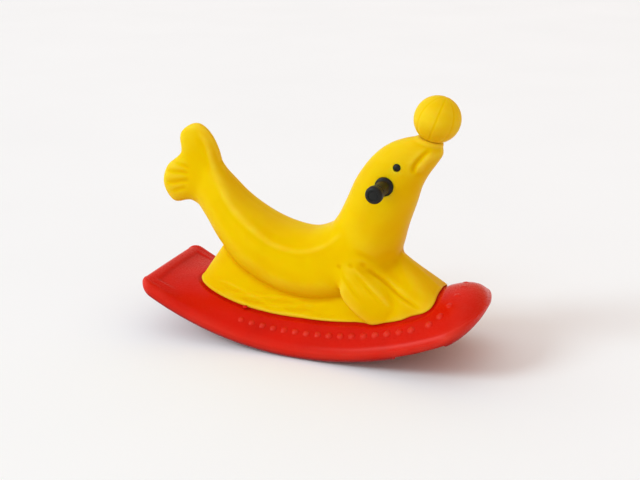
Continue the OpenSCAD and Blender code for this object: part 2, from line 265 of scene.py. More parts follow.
def close_skin(piece: bpy.types.Object) -> None:
    """Merges doubled points, fills open ends and turns all faces outwards.

    Args:
        piece: the object.
    """
    select_only(piece)
    bpy.ops.object.mode_set(mode="EDIT")
    bpy.ops.mesh.select_all(action="SELECT")
    bpy.ops.mesh.remove_doubles(threshold=WELD)
    bpy.ops.mesh.fill_holes(sides=0)
    bpy.ops.mesh.select_all(action="SELECT")
    bpy.ops.mesh.normals_make_consistent(inside=False)
    bpy.ops.object.mode_set(mode="OBJECT")


def loft(name: str, rings: np.ndarray) -> bpy.types.Object:
    """Wraps a grid round rings of points and closes it.

    Args:
        name: name of the new object.
        rings: points in millimetres, by ring, by place round the ring, and by axis.

    Returns:
        The new object, a closed skin.
    """
    count, places = rings.shape[:2]
    piece = primitive("grid", x_subdivisions=places, y_subdivisions=count - 1, size=1)
    piece.name = name
    move_points(piece, np.concatenate([rings, rings[:, :1]], axis=1) * MM)
    close_skin(piece)
    return piece


def turned(name: str, profile: Rows, steps: int = 64) -> bpy.types.Object:
    """Spins an open profile round Z into a solid.

    Args:
        name: name of the new object.
        profile: radius and height, in millimetres, from the axis round to the axis.
        steps: faces round the solid.

    Returns:
        The new object, with its axis on Z.
    """
    piece = primitive("circle", vertices=len(profile), radius=1)
    piece.name = name
    move_points(piece, np.array([(r, 0, z) for r, z in profile]) * MM)
    last = len(profile) - 1
    bpy.ops.object.mode_set(mode="EDIT")
    bpy.ops.mesh.select_mode(type="EDGE")
    bpy.ops.mesh.select_all(action="DESELECT")
    bpy.ops.object.mode_set(mode="OBJECT")
    for edge in piece.data.edges:
        edge.select = set(edge.vertices) == {0, last}
    bpy.ops.object.mode_set(mode="EDIT")
    bpy.ops.mesh.delete(type="EDGE")
    bpy.ops.mesh.select_all(action="SELECT")
    bpy.ops.mesh.spin(steps=steps, angle=math.tau, center=(0, 0, 0), axis=(0, 0, 1))
    bpy.ops.object.mode_set(mode="OBJECT")
    close_skin(piece)
    return piece


def on_flank(side: Side, place: Row) -> Matrix:
    """Where a turned piece goes that stands out of the head along Y.

    Args:
        side: the side of the head.
        place: along the toy, from the middle plane to the foot of the piece, and up, in millimetres.

    Returns:
        The matrix that takes its axis, Z, to the outward direction.
    """
    x, y, z = place
    turn = Matrix.Rotation(-side.value * math.pi / 2, 4, "X")
    return Matrix.Translation(Vector((x, side.value * y, z)) * MM) @ turn


def joined(name: str, pieces: list[bpy.types.Object]) -> bpy.types.Object:
    """Puts the meshes of several objects into one object at the origin.

    Args:
        name: name of the one object.
        pieces: the objects, of which the first one stays.

    Returns:
        The one object.
    """
    select_only(*pieces)
    bpy.ops.object.join()
    bpy.ops.object.transform_apply(location=True, rotation=True, scale=True)
    pieces[0].name = name
    return pieces[0]


def work_in(piece: bpy.types.Object, tool: bpy.types.Object, how: Join) -> None:
    """Cuts a closed mesh from another, or adds it to it, and deletes the tool."""
    apply(piece, "BOOLEAN", object=tool, operation=how.value, solver="MANIFOLD")
    bpy.data.objects.remove(tool)


def neighbour_mean(piece: bpy.types.Object) -> Callable[[np.ndarray], np.ndarray]:
    """Makes the function that averages rows of numbers over the neighbours of each point.

    Args:
        piece: the object whose edges say which points are neighbours.

    Returns:
        A function from one row for each point to the mean row of its neighbours.
    """
    mesh = piece.data
    ends = np.empty(len(mesh.edges) * 2, int)
    mesh.edges.foreach_get("vertices", ends)
    ends = ends.reshape(-1, 2)
    source, target = np.concatenate([ends, ends[:, ::-1]]).T
    count = len(mesh.vertices)
    neighbours = np.maximum(np.bincount(target, minlength=count), 1)

    def mean(rows: np.ndarray) -> np.ndarray:
        """Averages rows over neighbours."""
        sums = [np.bincount(target, weights=column[source], minlength=count) for column in rows.T]
        return np.stack(sums, axis=1) / neighbours[:, None]

    return mean


def relax(piece: bpy.types.Object, weight: np.ndarray, step: float, rounds: int) -> None:
    """Smooths a skin, more in some places than in others.

    Args:
        piece: the object.
        weight: how much each point takes part, from 0 to 1.
        step: the share of the way to its neighbours' mean that a point goes in a round.
        rounds: the number of rounds.
    """
    mean = neighbour_mean(piece)
    places = points_of(piece)
    for _ in range(rounds):
        places = places + step * weight[:, None] * (mean(places) - places)
    move_points(piece, places)


def mark_folds(piece: bpy.types.Object, reach: float) -> None:
    """Stores in an attribute how far each point stands out from the skin round it.

    Args:
        piece: the object.
        reach: how far, in millimetres, a point stands out or lies in for the attribute to be 1 or 0.
    """
    mean = neighbour_mean(piece)
    places = points_of(piece)
    smooth = places
    for _ in range(FOLD_ROUNDS):
        smooth = mean(smooth)
    out = ((places - smooth) * points_of(piece, "normal")).sum(axis=1)
    store = piece.data.attributes.new(FOLD, "FLOAT", "POINT")
    store.data.foreach_set("value", 0.5 + 0.5 * np.clip(out / (reach * MM), -1, 1))


def dress(piece: bpy.types.Object, look: bpy.types.Material) -> bpy.types.Object:
    """Gives an object one material.

    Args:
        piece: the object.
        look: the material.

    Returns:
        The object.
    """
    piece.data.materials.clear()
    piece.data.materials.append(look)
    return piece


def finish_piece(
    piece: bpy.types.Object, look: bpy.types.Material, body: Body, node: str
) -> bpy.types.Object:
    """Dresses a piece, sets it on its body and lets it stand for a CAD node.

    Args:
        piece: the modelled object.
        look: its material.
        body: the body that it rides on.
        node: the CAD node that it replaces.

    Returns:
        The finished piece.
    """
    select_only(piece)
    bpy.ops.object.shade_smooth_by_angle(angle=CREASE)
    dress(piece, look)
    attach(piece, body.value)
    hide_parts(node)
    return piece


# Finishes


# Numbers of a colour Mix node's sockets, which share their names with others on it
FACTOR, FIRST, SECOND, RESULT = 0, 6, 7, 2


def add_node(
    tree: bpy.types.NodeTree,
    kind: str,
    inputs: dict[str | int, object] | tuple[object, ...] = (),
    out: str | int = 0,
    **settings: object,
) -> bpy.types.NodeSocket | None:
    """Adds a shader node with its settings and its links.

    Args:
        tree: the nodes that it joins.
        kind: the node's type, without its ShaderNode prefix.
        inputs: for each input, in order or by its name or number, the socket that feeds it, the value that
            it holds, or None to leave it alone.
        out: name or number of the output that is wanted.
        settings: the node's own properties.

    Returns:
        That output, or None where the node has no outputs.
    """
    node = tree.nodes.new("ShaderNode" + kind)
    for name, value in settings.items():
        setattr(node, name, value)
    for name, value in inputs.items() if isinstance(inputs, dict) else enumerate(inputs):
        if isinstance(value, bpy.types.NodeSocket):
            tree.links.new(value, node.inputs[name])
        elif value is not None:
            node.inputs[name].default_value = value
    return node.outputs[out] if len(node.outputs) else None


def per_metre(size: float) -> float:
    """The texture scale that gives features of a size in millimetres."""
    return 1 / (size * MM)


@dataclass(frozen=True)
class Finish(ABC):
    """A finish made of shader nodes that read Object coordinates.

    Where a field holds four numbers for a Map Range node, they are the two values of a pattern between which
    it works and the two results there.
    """

    name: str

    @abstractmethod
    def shader(self, tree: bpy.types.NodeTree, where: bpy.types.NodeSocket) -> bpy.types.NodeSocket:
        """Adds the finish's own nodes.

        Args:
            tree: the material's nodes.
            where: the object coordinates.

        Returns:
            The output of the shader.
        """

    def material(self) -> bpy.types.Material:
        """Builds the material.

        Returns:
            The new material.
        """
        look = bpy.data.materials.new(self.name)
        look.use_nodes = True
        tree = look.node_tree
        tree.nodes.clear()
        shader = self.shader(tree, add_node(tree, "TexCoord", out="Object"))
        add_node(tree, "OutputMaterial", {"Surface": shader})
        return look


@dataclass(frozen=True)
class BlownPolyethylene(Finish):
    """High-density polyethylene, blown against a blasted steel mould.

    It is waxy and a little see-through: light spreads under the skin, so that shade turns warm, and the
    highlights are broad. The blasting leaves a fine matt grain, the cooling wall a faint long-wave
    unevenness, and the mould's two halves a thin line in the middle plane. Raised edges are painted paler,
    partly as rubbing and partly as a painted highlight, and hollows and the underside are painted deeper as
    painted shade.
    """

    # The deep colour is painted shade in hollows and on the underside as well as cloudy patches; the pale
    # colour is a painted highlight with some rubbing on raised edges
    colour: str
    deep_and_shade: str
    pale_tone: str
    sheen: str
    # How far light spreads under the skin, and the shares of that for red, green and blue
    glow_mm: float
    glow: Row
    gloss: float
    # How far the underside is darkened towards the deep colour, as painted shade
    under_shade: float
    roughness: float = 0.4
    # Half width of the line that the mould's halves leave, where the moulding has one
    seam_mm: float = 0.0
    cloud_mm: float = 75.0
    # Streaks run along X, where the wall was drawn out most
    streak_mm: float = 26.0
    streak_scale: Row = (0.3, 1.0, 1.0)
    # The real grain is about 0.3 mm, too fine to show in the render, so it is drawn at 2.2 mm
    grain_mm: float = 2.2
    # Map ranges: deeper clouds, hollows as painted shade, raised edges as painted highlight and rubbing, and
    # the span of the grain
    patch: Row = (0.4, 0.75, 0.0, 0.22)
    crease_shade: Row = (0.5, 0.1, 0.0, 0.55)
    raised: Row = (0.56, 0.95, 0.0, 0.9)
    grain_span: Row = (0.3, 0.7)
    # The underside's painted shade begins and ends where the normal has these upward shares
    under_shade_span: Row = (0.1, -0.6)
    # By how much the grain changes the roughness
    matt_play: float = 0.05
    # Strength and depth in millimetres of the relief that clouds, streaks, grain and seam give
    cloud_relief: Row = (0.25, 2.5)
    streak_relief: Row = (0.2, 0.6)
    grain_relief: Row = (0.16, 0.25)
    seam_relief: Row = (0.6, 0.4)
    # Share of the seam's half width that is flat
    seam_core: float = 0.3

    def shader(self, tree: bpy.types.NodeTree, where: bpy.types.NodeSocket) -> bpy.types.NodeSocket:
        """Lays colour and relief by clouds, streaks, grain, folds and facing, with painted shade and
        highlight.

        Args:
            tree: the material's nodes.
            where: the object coordinates.

        Returns:
            The output of the shader.
        """
        drawn = add_node(tree, "Mapping", {"Vector": where, "Scale": self.streak_scale})
        cloud, streak, grain = (
            add_node(tree, "TexNoise", {"Vector": at, "Scale": per_metre(size), "Detail": detail})
            for at, size, detail in (
                (where, self.cloud_mm, 3.0), (drawn, self.streak_mm, 2.0), (where, self.grain_mm, 2.0),
            )
        )
        fold = add_node(tree, "Attribute", out="Fac", attribute_name=FOLD)
        facing = add_node(tree, "NewGeometry", out="Normal")
        upward = add_node(tree, "SeparateXYZ", (facing,), out="Z")
        patch = add_node(tree, "MapRange", (cloud, *self.patch))
        # Hollows, found by the fold attribute, are darkened here as painted shade
        crease_shade = add_node(tree, "MapRange", (fold, *self.crease_shade))
        # Raised edges, streaked, are made paler here as a painted highlight with some rubbing
        raised = add_node(tree, "MapRange", (fold, *self.raised))
        worn_and_highlight = add_node(tree, "Math", (raised, streak), operation="MULTIPLY")
        # Surfaces that face down are darkened here as painted shade
        under_shade = add_node(tree, "MapRange", (upward, *self.under_shade_span, 0.0, self.under_shade))
        tint = linear(self.colour)
        layers = ((patch, self.deep_and_shade), (crease_shade, self.deep_and_shade), (worn_and_highlight, self.pale_tone), (under_shade, self.deep_and_shade))
        for share, tone in layers:
            mix = {FACTOR: share, FIRST: tint, SECOND: linear(tone)}
            tint = add_node(tree, "Mix", mix, RESULT, data_type="RGBA")
        matt_span = (self.roughness - self.matt_play, self.roughness + self.matt_play)
        reliefs = [(cloud, self.cloud_relief), (streak, self.streak_relief), (grain, self.grain_relief)]
        if self.seam_mm:
            across = add_node(tree, "SeparateXYZ", (where,), out="Y")
            off = add_node(tree, "Math", (across,), operation="ABSOLUTE")
            span = (self.seam_core * self.seam_mm * MM, self.seam_mm * MM, 1.0, 0.0)
            seam = add_node(tree, "MapRange", (off, *span), interpolation_type="SMOOTHSTEP")
            reliefs.append((seam, self.seam_relief))
        skin = None
        for height, (strength, depth) in reliefs:
            relief = {"Height": height, "Strength": strength, "Distance": depth * MM, "Normal": skin}
            skin = add_node(tree, "Bump", relief)
        return add_node(
            tree,
            "BsdfPrincipled",
            {
                "Base Color": tint,
                "Roughness": add_node(tree, "MapRange", (grain, *self.grain_span, *matt_span)),
                "Normal": skin,
                "IOR": 1.53,
                "Specular IOR Level": self.gloss,
                "Specular Tint": linear(self.sheen),
                "Subsurface Weight": 0.6,
                "Subsurface Radius": self.glow,
                "Subsurface Scale": self.glow_mm * MM,
            },
        )


@dataclass(frozen=True)
class MouldedPolypropylene(Finish):
    """Black polypropylene, injected into a spark-eroded mould.

    It has an even, fine, semi-matt grain, is slightly warm, and shines a little where hands rub it.
    """

    colour: str
    pale_tone: str
    roughness: float = 0.45
    # The real spark grain is about 0.1 mm, too fine to show, so it is drawn at 0.8 mm
    grain_mm: float = 0.8
    cloud_mm: float = 14.0
    # Map ranges: paler patches, and the span of the clouds by which the roughness changes
    patch: Row = (0.45, 0.75, 0.0, 0.6)
    cloud_span: Row = (0.3, 0.7)
    matt_play: float = 0.06
    # Strength and depth in millimetres of the grain
    grain_relief: Row = (0.3, 0.12)

    def shader(self, tree: bpy.types.NodeTree, where: bpy.types.NodeSocket) -> bpy.types.NodeSocket:
        """Lays colour and sheen by clouds, and relief by the grain.

        Args:
            tree: the material's nodes.
            where: the object coordinates.

        Returns:
            The output of the shader.
        """
        grain, cloud = (
            add_node(tree, "TexNoise", {"Vector": where, "Scale": per_metre(size), "Detail": detail})
            for size, detail in ((self.grain_mm, 2.0), (self.cloud_mm, 3.0))
        )
        patch = add_node(tree, "MapRange", (cloud, *self.patch))
        mix = {FACTOR: patch, FIRST: linear(self.colour), SECOND: linear(self.pale_tone)}
        matt_span = (self.roughness + self.matt_play, self.roughness - self.matt_play)
        strength, depth = self.grain_relief
        return add_node(
            tree,
            "BsdfPrincipled",
            {
                "Base Color": add_node(tree, "Mix", mix, RESULT, data_type="RGBA"),
                "Roughness": add_node(tree, "MapRange", (cloud, *self.cloud_span, *matt_span)),
                "Normal": add_node(
                    tree, "Bump", {"Height": grain, "Strength": strength, "Distance": depth * MM}
                ),
                "IOR": 1.49,
                "Specular IOR Level": 0.3,
            },
        )


@dataclass(frozen=True)
class BrightZinc(Finish):
    """Steel with a bright zinc plate: a cool metal with faint cloudy patches and drawing lines along Y."""

    colour: str
    dull: str
    cloud_mm: float = 6.0
    # Lines run along Y, the way that the bar and its screws were drawn
    line_mm: float = 0.5
    line_scale: Row = (1.0, 0.05, 1.0)
    # Map range: roughness by clouds
    matt: Row = (0.3, 0.7, 0.22, 0.42)
    # Strength and depth in millimetres of the lines
    line_relief: Row = (0.15, 0.05)

    def shader(self, tree: bpy.types.NodeTree, where: bpy.types.NodeSocket) -> bpy.types.NodeSocket:
        """Lays colour and sheen by clouds, and relief by the drawing lines.

        Args:
            tree: the material's nodes.
            where: the object coordinates.

        Returns:
            The output of the shader.
        """
        drawn = add_node(tree, "Mapping", {"Vector": where, "Scale": self.line_scale})
        cloud, lines = (
            add_node(tree, "TexNoise", {"Vector": at, "Scale": per_metre(size), "Detail": detail})
            for at, size, detail in ((where, self.cloud_mm, 3.0), (drawn, self.line_mm, 1.0))
        )
        mix = {FACTOR: cloud, FIRST: linear(self.colour), SECOND: linear(self.dull)}
        strength, depth = self.line_relief
        return add_node(
            tree,
            "BsdfPrincipled",
            {
                "Base Color": add_node(tree, "Mix", mix, RESULT, data_type="RGBA"),
                "Roughness": add_node(tree, "MapRange", (cloud, *self.matt)),
                "Normal": add_node(
                    tree, "Bump", {"Height": lines, "Strength": strength, "Distance": depth * MM}
                ),
                "Metallic": 1.0,
            },
        )


@dataclass(frozen=True)
class StudioSweep(Finish):
    """The pale painted floor of the studio, with the least unevenness that still reads as a real surface."""

    name: str = "pale_floor_paint"
    colour: str = "#F8FCFF"
    shade: str = "#F3F7FA"
    cloud_mm: float = 900.0

    def shader(self, tree: bpy.types.NodeTree, where: bpy.types.NodeSocket) -> bpy.types.NodeSocket:
        """Lays two close colours by broad clouds.

        Args:
            tree: the material's nodes.
            where: the object coordinates.

        Returns:
            The output of the shader.
        """
        cloud = add_node(tree, "TexNoise", {"Vector": where, "Scale": per_metre(self.cloud_mm)})
        mix = {FACTOR: cloud, FIRST: linear(self.colour), SECOND: linear(self.shade)}
        tint = add_node(tree, "Mix", mix, RESULT, data_type="RGBA")
        return add_node(tree, "BsdfPrincipled", {"Base Color": tint, "Roughness": 0.7})


# Sub-assemblies


@dataclass
class RockerBase:
    """The red base: a curved sole, a rounded rim and a crowned foot deck with a row of studs."""

    half_l: float
    half_w: float
    # Arc of the sole: its radius, and where it is lowest
    sole_r: float = 805.0
    sole_x: float = -8.0
    # Height of the rim, width of the flat rim round the deck, and the deck's rise in the middle
    rim_h: float = 38.0
    rim_t: float = 10.0
    crown_h: float = 68.0
    # Powers by which the rise falls away to the rear and to the front
    rear_fall: float = 1.4
    front_fall: float = 12.0
    # Corners seen from above, and the lengths over which a section closes at the two ends
    rear_corner_r: float = 30.0
    front_round: float = 70.0
    rear_round: float = 26.0
    nose_round: float = 90.0
    # Share of its height by which a section closes there, and the share of the rim by which it lifts
    end_close: float = 0.96
    end_lift: float = 0.5
    # Edges of a section, and the shares of its height that they take at most
    sole_edge_r: float = 16.0
    deck_edge: float = 12.0
    low_share: float = 0.42
    high_share: float = 0.4
    # Sections along the rear, the middle and the nose, and points of a section along the sole, round each
    # edge and over the deck
    rear_rings: int = 15
    middle_rings: int = 250
    nose_rings: int = 30
    sole_points: int = 12
    edge_points: int = 9
    deck_points: int = 58
    # Where the deck flows softly over the rim: along X, across as a share of the width, and by the upward
    # share of the normal. Then the smoothing's step and rounds
    soft_from: Row = (-370.0, -320.0)
    soft_to: Row = (340.0, 390.0)
    soft_out: Row = (0.68, 0.8)
    soft_up: Row = (0.1, 0.4)
    soft_step: float = 0.6
    soft_rounds: int = 30
    # How far a point stands out to be palest, as painted highlight and rubbing, and lies in to be deepest,
    # as painted shade
    fold_reach: float = 4.0
    # Bead along the edge of the deck: height, half width and distance from the side
    bead_h: float = 1.4
    bead_w: float = 5.0
    bead_in: float = 15.0
    # Panel behind the seal, let into the deck and running out forwards
    panel_x: float = -393.0
    panel_half_w: float = 108.0
    panel_t: float = 3.4
    panel_end_x: float = -325.0
    panel_soft: float = 10.0
    # Groove that the seal's foot stands in: depth, half width and distance outside the foot, and the upward
    # share of the normal where it begins and is full
    groove_t: float = 2.8
    groove_w: float = 4.5
    groove_out: float = 1.5
    groove_up: Row = (0.2, 0.5)
    # Studs for the feet: their size, the straight rows, and the fan round the front with its degrees to each
    # side, its number and the powers that square its curve
    stud_d: float = 9.0
    stud_h: float = 0.75
    stud_pitch: float = 29.0
    stud_y: float = 113.0
    stud_from_x: float = -160.0
    stud_turn_x: float = 288.0
    stud_reach: float = 76.0
    stud_fan: float = 75.0
    stud_fan_count: int = 9
    stud_fan_square: Row = (0.75, 0.9)
    # Lugs that locate the seal's foot: place and half sizes
    lug: Row = (-163.0, 85.0, 86.0)
    lug_half: Row = (6.5, 5.0, 5.0)
    # Bolt wells in the sole, and the wall that they leave below the deck
    bolt_x: Row = (-210.0, 130.0)
    bolt_y: float = 32.0
    well_d: float = 34.0
    seat_t: float = 12.0
    # Lifting recesses at the front: from and to, depth, width, the cutter's spare and its rings
    recess_x: Row = (240.0, 362.0)
    recess_t: float = 8.0
    recess_w: float = 26.0
    recess_spare: float = 20.0
    recess_rings: int = 24

    @classmethod
    def from_frame(cls) -> "RockerBase":
        """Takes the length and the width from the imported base."""
        low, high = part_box("rocker_base")
        return cls(half_l=(high.x - low.x) / 2 / MM, half_w=(high.y - low.y) / 2 / MM)

    def sole(self, x: np.ndarray) -> np.ndarray:
        """Height of the sole's arc."""
        return self.sole_r - np.sqrt(self.sole_r**2 - (x - self.sole_x) ** 2)

    def plan(self, x: np.ndarray) -> np.ndarray:
        """Half width seen from above: small corners at the rear, half an ellipse at the front.

        Args:
            x: places along the base.

        Returns:
            Half widths.
        """
        ahead = np.clip((x - self.half_l + self.front_round) / self.front_round, 0, 1)
        behind = np.clip(self.rear_corner_r - self.half_l - x, 0, self.rear_corner_r)
        corner = self.rear_corner_r - np.sqrt(self.rear_corner_r**2 - behind**2)
        return self.half_w * np.sqrt(1 - ahead**2) - corner

    def crown(self, x: np.ndarray) -> np.ndarray:
        """Rise of the deck in the middle of its width."""
        power = np.where(x < 0, self.rear_fall, self.front_fall)
        return self.crown_h * (1 - np.minimum(np.abs(x) / self.half_l, 1) ** power)

    def swell(self, x: np.ndarray, y: np.ndarray) -> np.ndarray:
        """Rise of the deck above the rim, with the bead at its edge and less the panel let into it.

        Args:
            x: places along the base.
            y: places across it.

        Returns:
            Heights above the rim.
        """
        across = np.maximum(self.plan(x) - self.rim_t, 1)
        rise = self.crown(x) * np.maximum(1 - (y / across) ** 2, 0)
        rise = rise + self.bead_h * np.exp(-(((self.plan(x) - np.abs(y) - self.bead_in) / self.bead_w) ** 2))
        half_soft = self.panel_soft / 2
        panel = (
            ease(x, self.panel_x - half_soft, self.panel_x + half_soft)
            * (1 - ease(np.abs(y), self.panel_half_w - half_soft, self.panel_half_w + half_soft))
            * (1 - ease(x, self.panel_x + self.panel_soft, self.panel_end_x))
        )
        return rise - self.panel_t * panel

    def deck(self, x: np.ndarray, y: np.ndarray) -> np.ndarray:
        """Height of the deck."""
        return self.sole(x) + self.rim_h + self.swell(x, y)

    def closing(self, x: np.ndarray) -> np.ndarray:
        """How far the section has closed: 0 along the base, 1 at its two ends.

        Args:
            x: places along the base.

        Returns:
            Shares from 0 to 1.
        """
        reach = np.where(x < 0, self.rear_round, self.nose_round)
        left = np.minimum(np.maximum(self.half_l - np.abs(x), 0), reach)
        return 1 - np.sqrt(1 - (1 - left / reach) ** 2)

    def rings(self) -> np.ndarray:
        """Sections of the base from the rear to the front.

        Returns:
            Points by section, by place round it, and by axis.
        """
        right = math.pi / 2
        rear = -self.half_l + self.rear_round * (1 - np.cos(np.linspace(0, right, self.rear_rings)))
        nose_x = self.half_l - self.nose_round
        middle = np.linspace(rear[-1], nose_x, self.middle_rings)[1:-1]
        front = nose_x + self.nose_round * np.sin(np.linspace(0, right, self.nose_rings))
        x = np.concatenate([rear, middle, front])[:, None]
        shut = self.closing(x)
        width = np.maximum(self.plan(x), 1)
        height = self.rim_h * (1 - self.end_close * shut)
        foot = self.sole(x) + self.end_lift * self.rim_h * shut
        third = width / 3
        low_r = np.minimum(np.minimum(self.sole_edge_r, third), self.low_share * height)
        edge = np.minimum(self.deck_edge, third)
        turn = np.linspace(0, right, self.edge_points)[None, :]
        flat = np.linspace(0, 1, self.sole_points)[None, :-1]
        over = np.linspace(1, 0, self.deck_points)[None, 1:]
        sole_y = (width - low_r) * flat
        low_y = width - low_r + low_r * np.sin(turn)
        low_z = low_r - low_r * np.cos(turn)
        high_y = width - edge + edge * np.cos(turn)
        high_z = (1 - self.high_share) * height + self.high_share * height * np.sin(turn)
        deck_y = (width - edge) * over
        deck_z = height + self.swell(x, deck_y)
        # The cube keeps the deck's rise to the top of the upper edge
        lift = self.swell(x, width - edge) * np.sin(turn) ** 3
        y = np.concatenate([sole_y, low_y, high_y, deck_y], axis=1)
        z = np.concatenate([0 * sole_y, low_z, high_z + lift, deck_z], axis=1) + foot
        y = np.concatenate([y, -y[:, -2:0:-1]], axis=1)
        z = np.concatenate([z, z[:, -2:0:-1]], axis=1)
        return np.stack([np.broadcast_to(x, y.shape), y, z], axis=2)

    def skin(self) -> bpy.types.Object:
        """The plain outside of the base, with the deck flowing softly over the rim.

        Returns:
            The new object.
        """
        base = loft("rocker_base_moulding", self.rings())
        x, y, _ = (points_of(base) / MM).T
        upwards = ease(points_of(base, "normal")[:, 2], *self.soft_up)
        outer = ease(np.abs(y) / np.maximum(self.plan(x), 1), *self.soft_out)
        inner = ease(x, *self.soft_from) * (1 - ease(x, *self.soft_to))
        relax(base, upwards * outer * inner, self.soft_step, self.soft_rounds)
        return base

    def stud_places(self) -> list[Row]:
        """Where the studs stand: along both sides of the deck and round its front.

        Returns:
            X and Y of each stud.
        """
        run = self.stud_turn_x - self.stud_from_x
        side = [self.stud_from_x + k * self.stud_pitch for k in range(int(run / self.stud_pitch) + 1)]
        places = [(x, s.value * self.stud_y) for x in side for s in Side]
        square_x, square_y = self.stud_fan_square
        for angle in np.radians(np.linspace(-self.stud_fan, self.stud_fan, self.stud_fan_count)):
            along = bulge(np.cos(angle), square_x)
            across = bulge(np.sin(angle), square_y)
            places.append((self.stud_turn_x + self.stud_reach * along, self.stud_y * across))
        return places

    def studs(self) -> bpy.types.Object:
        """The studs, as caps of balls sunk into the deck.

        Returns:
            All studs, as one object.
        """
        radius = (self.stud_d**2 / 4 + self.stud_h**2) / (2 * self.stud_h)
        pieces = []
        for x, y in self.stud_places():
            top = float(self.deck(np.array(x), np.array(y))) + self.stud_h
            place = (x * MM, y * MM, (top - radius) * MM)
            pieces.append(primitive("ico_sphere", subdivisions=3, radius=radius * MM, location=place))
        return joined("studs", pieces)

    def lugs(self, grow: float = 0.0) -> bpy.types.Object:
        """The locating lugs, or with some growth the cutters for their notches.

        Args:
            grow: how much larger each lug is all round.

        Returns:
            Both lugs, as one object.
        """
        x, y, z = self.lug
        halves = [(half + grow) * MM for half in self.lug_half]
        pieces = []
        for side in Side:
            place = (x * MM, side.value * y * MM, z * MM)
            ball = primitive("uv_sphere", segments=32, ring_count=16, radius=1, location=place, scale=halves)
            pieces.append(ball)
        return joined("lugs", pieces)

    def wells(self) -> bpy.types.Object:
        """The bolt wells, as the cylinders that cut them.

        Returns:
            The cutters, as one object.
        """
        pieces = []
        for x in self.bolt_x:
            for side in Side:
                y = side.value * self.bolt_y
                top = float(self.deck(np.array(x), np.array(y))) - self.seat_t
                size = {"radius": self.well_d / 2 * MM, "depth": 2 * top * MM}
                pieces.append(primitive("cylinder", vertices=64, location=(x * MM, y * MM, 0), **size))
        return joined("wells", pieces)

    def recess(self, side: Side) -> bpy.types.Object:
        """The lifting recess under one front edge, which ends in a stop lug at the corner.

        Args:
            side: the side of the base.

        Returns:
            The cutter.
        """
        start, end = (math.asin((x - self.sole_x) / self.sole_r) for x in self.recess_x)
        drop = np.array((self.recess_t, self.recess_t, -self.recess_spare, -self.recess_spare))
        out = np.array((-self.recess_w, self.recess_spare, self.recess_spare, -self.recess_w))
        angle = np.linspace(start, end, self.recess_rings)[:, None]
        x = self.sole_x + (self.sole_r - drop) * np.sin(angle)
        y = np.broadcast_to(side.value * (self.half_w + out), x.shape)
        z = self.sole_r - (self.sole_r - drop) * np.cos(angle)
        return loft("recess", np.stack([x, y, z], axis=2))

    def sink_groove(self, base: bpy.types.Object, foot: np.ndarray) -> None:
        """Lets the groove round the seal's foot into the deck.

        Args:
            base: the base's skin.
            foot: the outline of the seal's foot, X and Y by row.
        """
        places = points_of(base) / MM
        away, _ = beside(places[:, :2], np.concatenate([foot, foot[:1]]))
        upwards = ease(points_of(base, "normal")[:, 2], *self.groove_up)
        places[:, 2] -= self.groove_t * np.exp(-(((away - self.groove_out) / self.groove_w) ** 2)) * upwards
        move_points(base, places * MM)

    def build(self, look: bpy.types.Material, foot: np.ndarray) -> bpy.types.Object:
        """Makes the base.

        Args:
            look: its material.
            foot: the outline of the seal's foot on the deck, X and Y by row.

        Returns:
            The finished piece.
        """
        base = self.skin()
        self.sink_groove(base, foot)
        work_in(base, self.studs(), Join.ADD)
        work_in(base, self.lugs(), Join.ADD)
        work_in(base, self.wells(), Join.CUT)
        for side in Side:
            work_in(base, self.recess(side), Join.CUT)
        mark_folds(base, self.fold_reach)
        return finish_piece(base, look, Body.ROCKER, "rocker_base")


@dataclass
class Ball:
    """The yellow ball, in eight panels parted by shallow grooves that run from pole to pole."""

    centre: Row = (286.0, 0.0, 578.5)
    radius: float = 54.0
    panels: int = 8
    groove_t: float = 0.6
    groove_w: float = 2.4
    # Distance from the axis, as a share of the radius, where a groove begins and is full
    pole: Row = (0.06, 0.2)
    # Degrees by which the axis leans forwards and the panels turn round it
    lean: float = 20.0
    turn: float = 8.0
    # How far a point stands out to be palest, as painted highlight and rubbing, and lies in to be deepest,
    # as painted shade
    fold_reach: float = 0.8

    def build(self, look: bpy.types.Material) -> bpy.types.Object:
        """Makes the ball.

        Args:
            look: its material.

        Returns:
            The finished piece.
        """
        ball = primitive("uv_sphere", segments=192, ring_count=96, radius=1)
        ball.name = "ball_moulding"
        unit = points_of(ball)
        around = np.arctan2(unit[:, 1], unit[:, 0]) / math.tau * self.panels
        from_axis = np.hypot(unit[:, 0], unit[:, 1])
        gap = np.abs(around - np.round(around)) * math.tau / self.panels * from_axis * self.radius
        groove = self.groove_t * np.exp(-((gap / self.groove_w) ** 2)) * ease(from_axis, *self.pole)
        lean = Matrix.Rotation(math.radians(self.lean), 3, "Y")
        pose = np.array(lean @ Matrix.Rotation(math.radians(self.turn), 3, "Z"))
        places = unit * (self.radius - groove)[:, None]
        move_points(ball, (places @ pose.T + np.array(self.centre)) * MM)
        mark_folds(ball, self.fold_reach)
        return finish_piece(ball, look, Body.ROCKER, "ball")


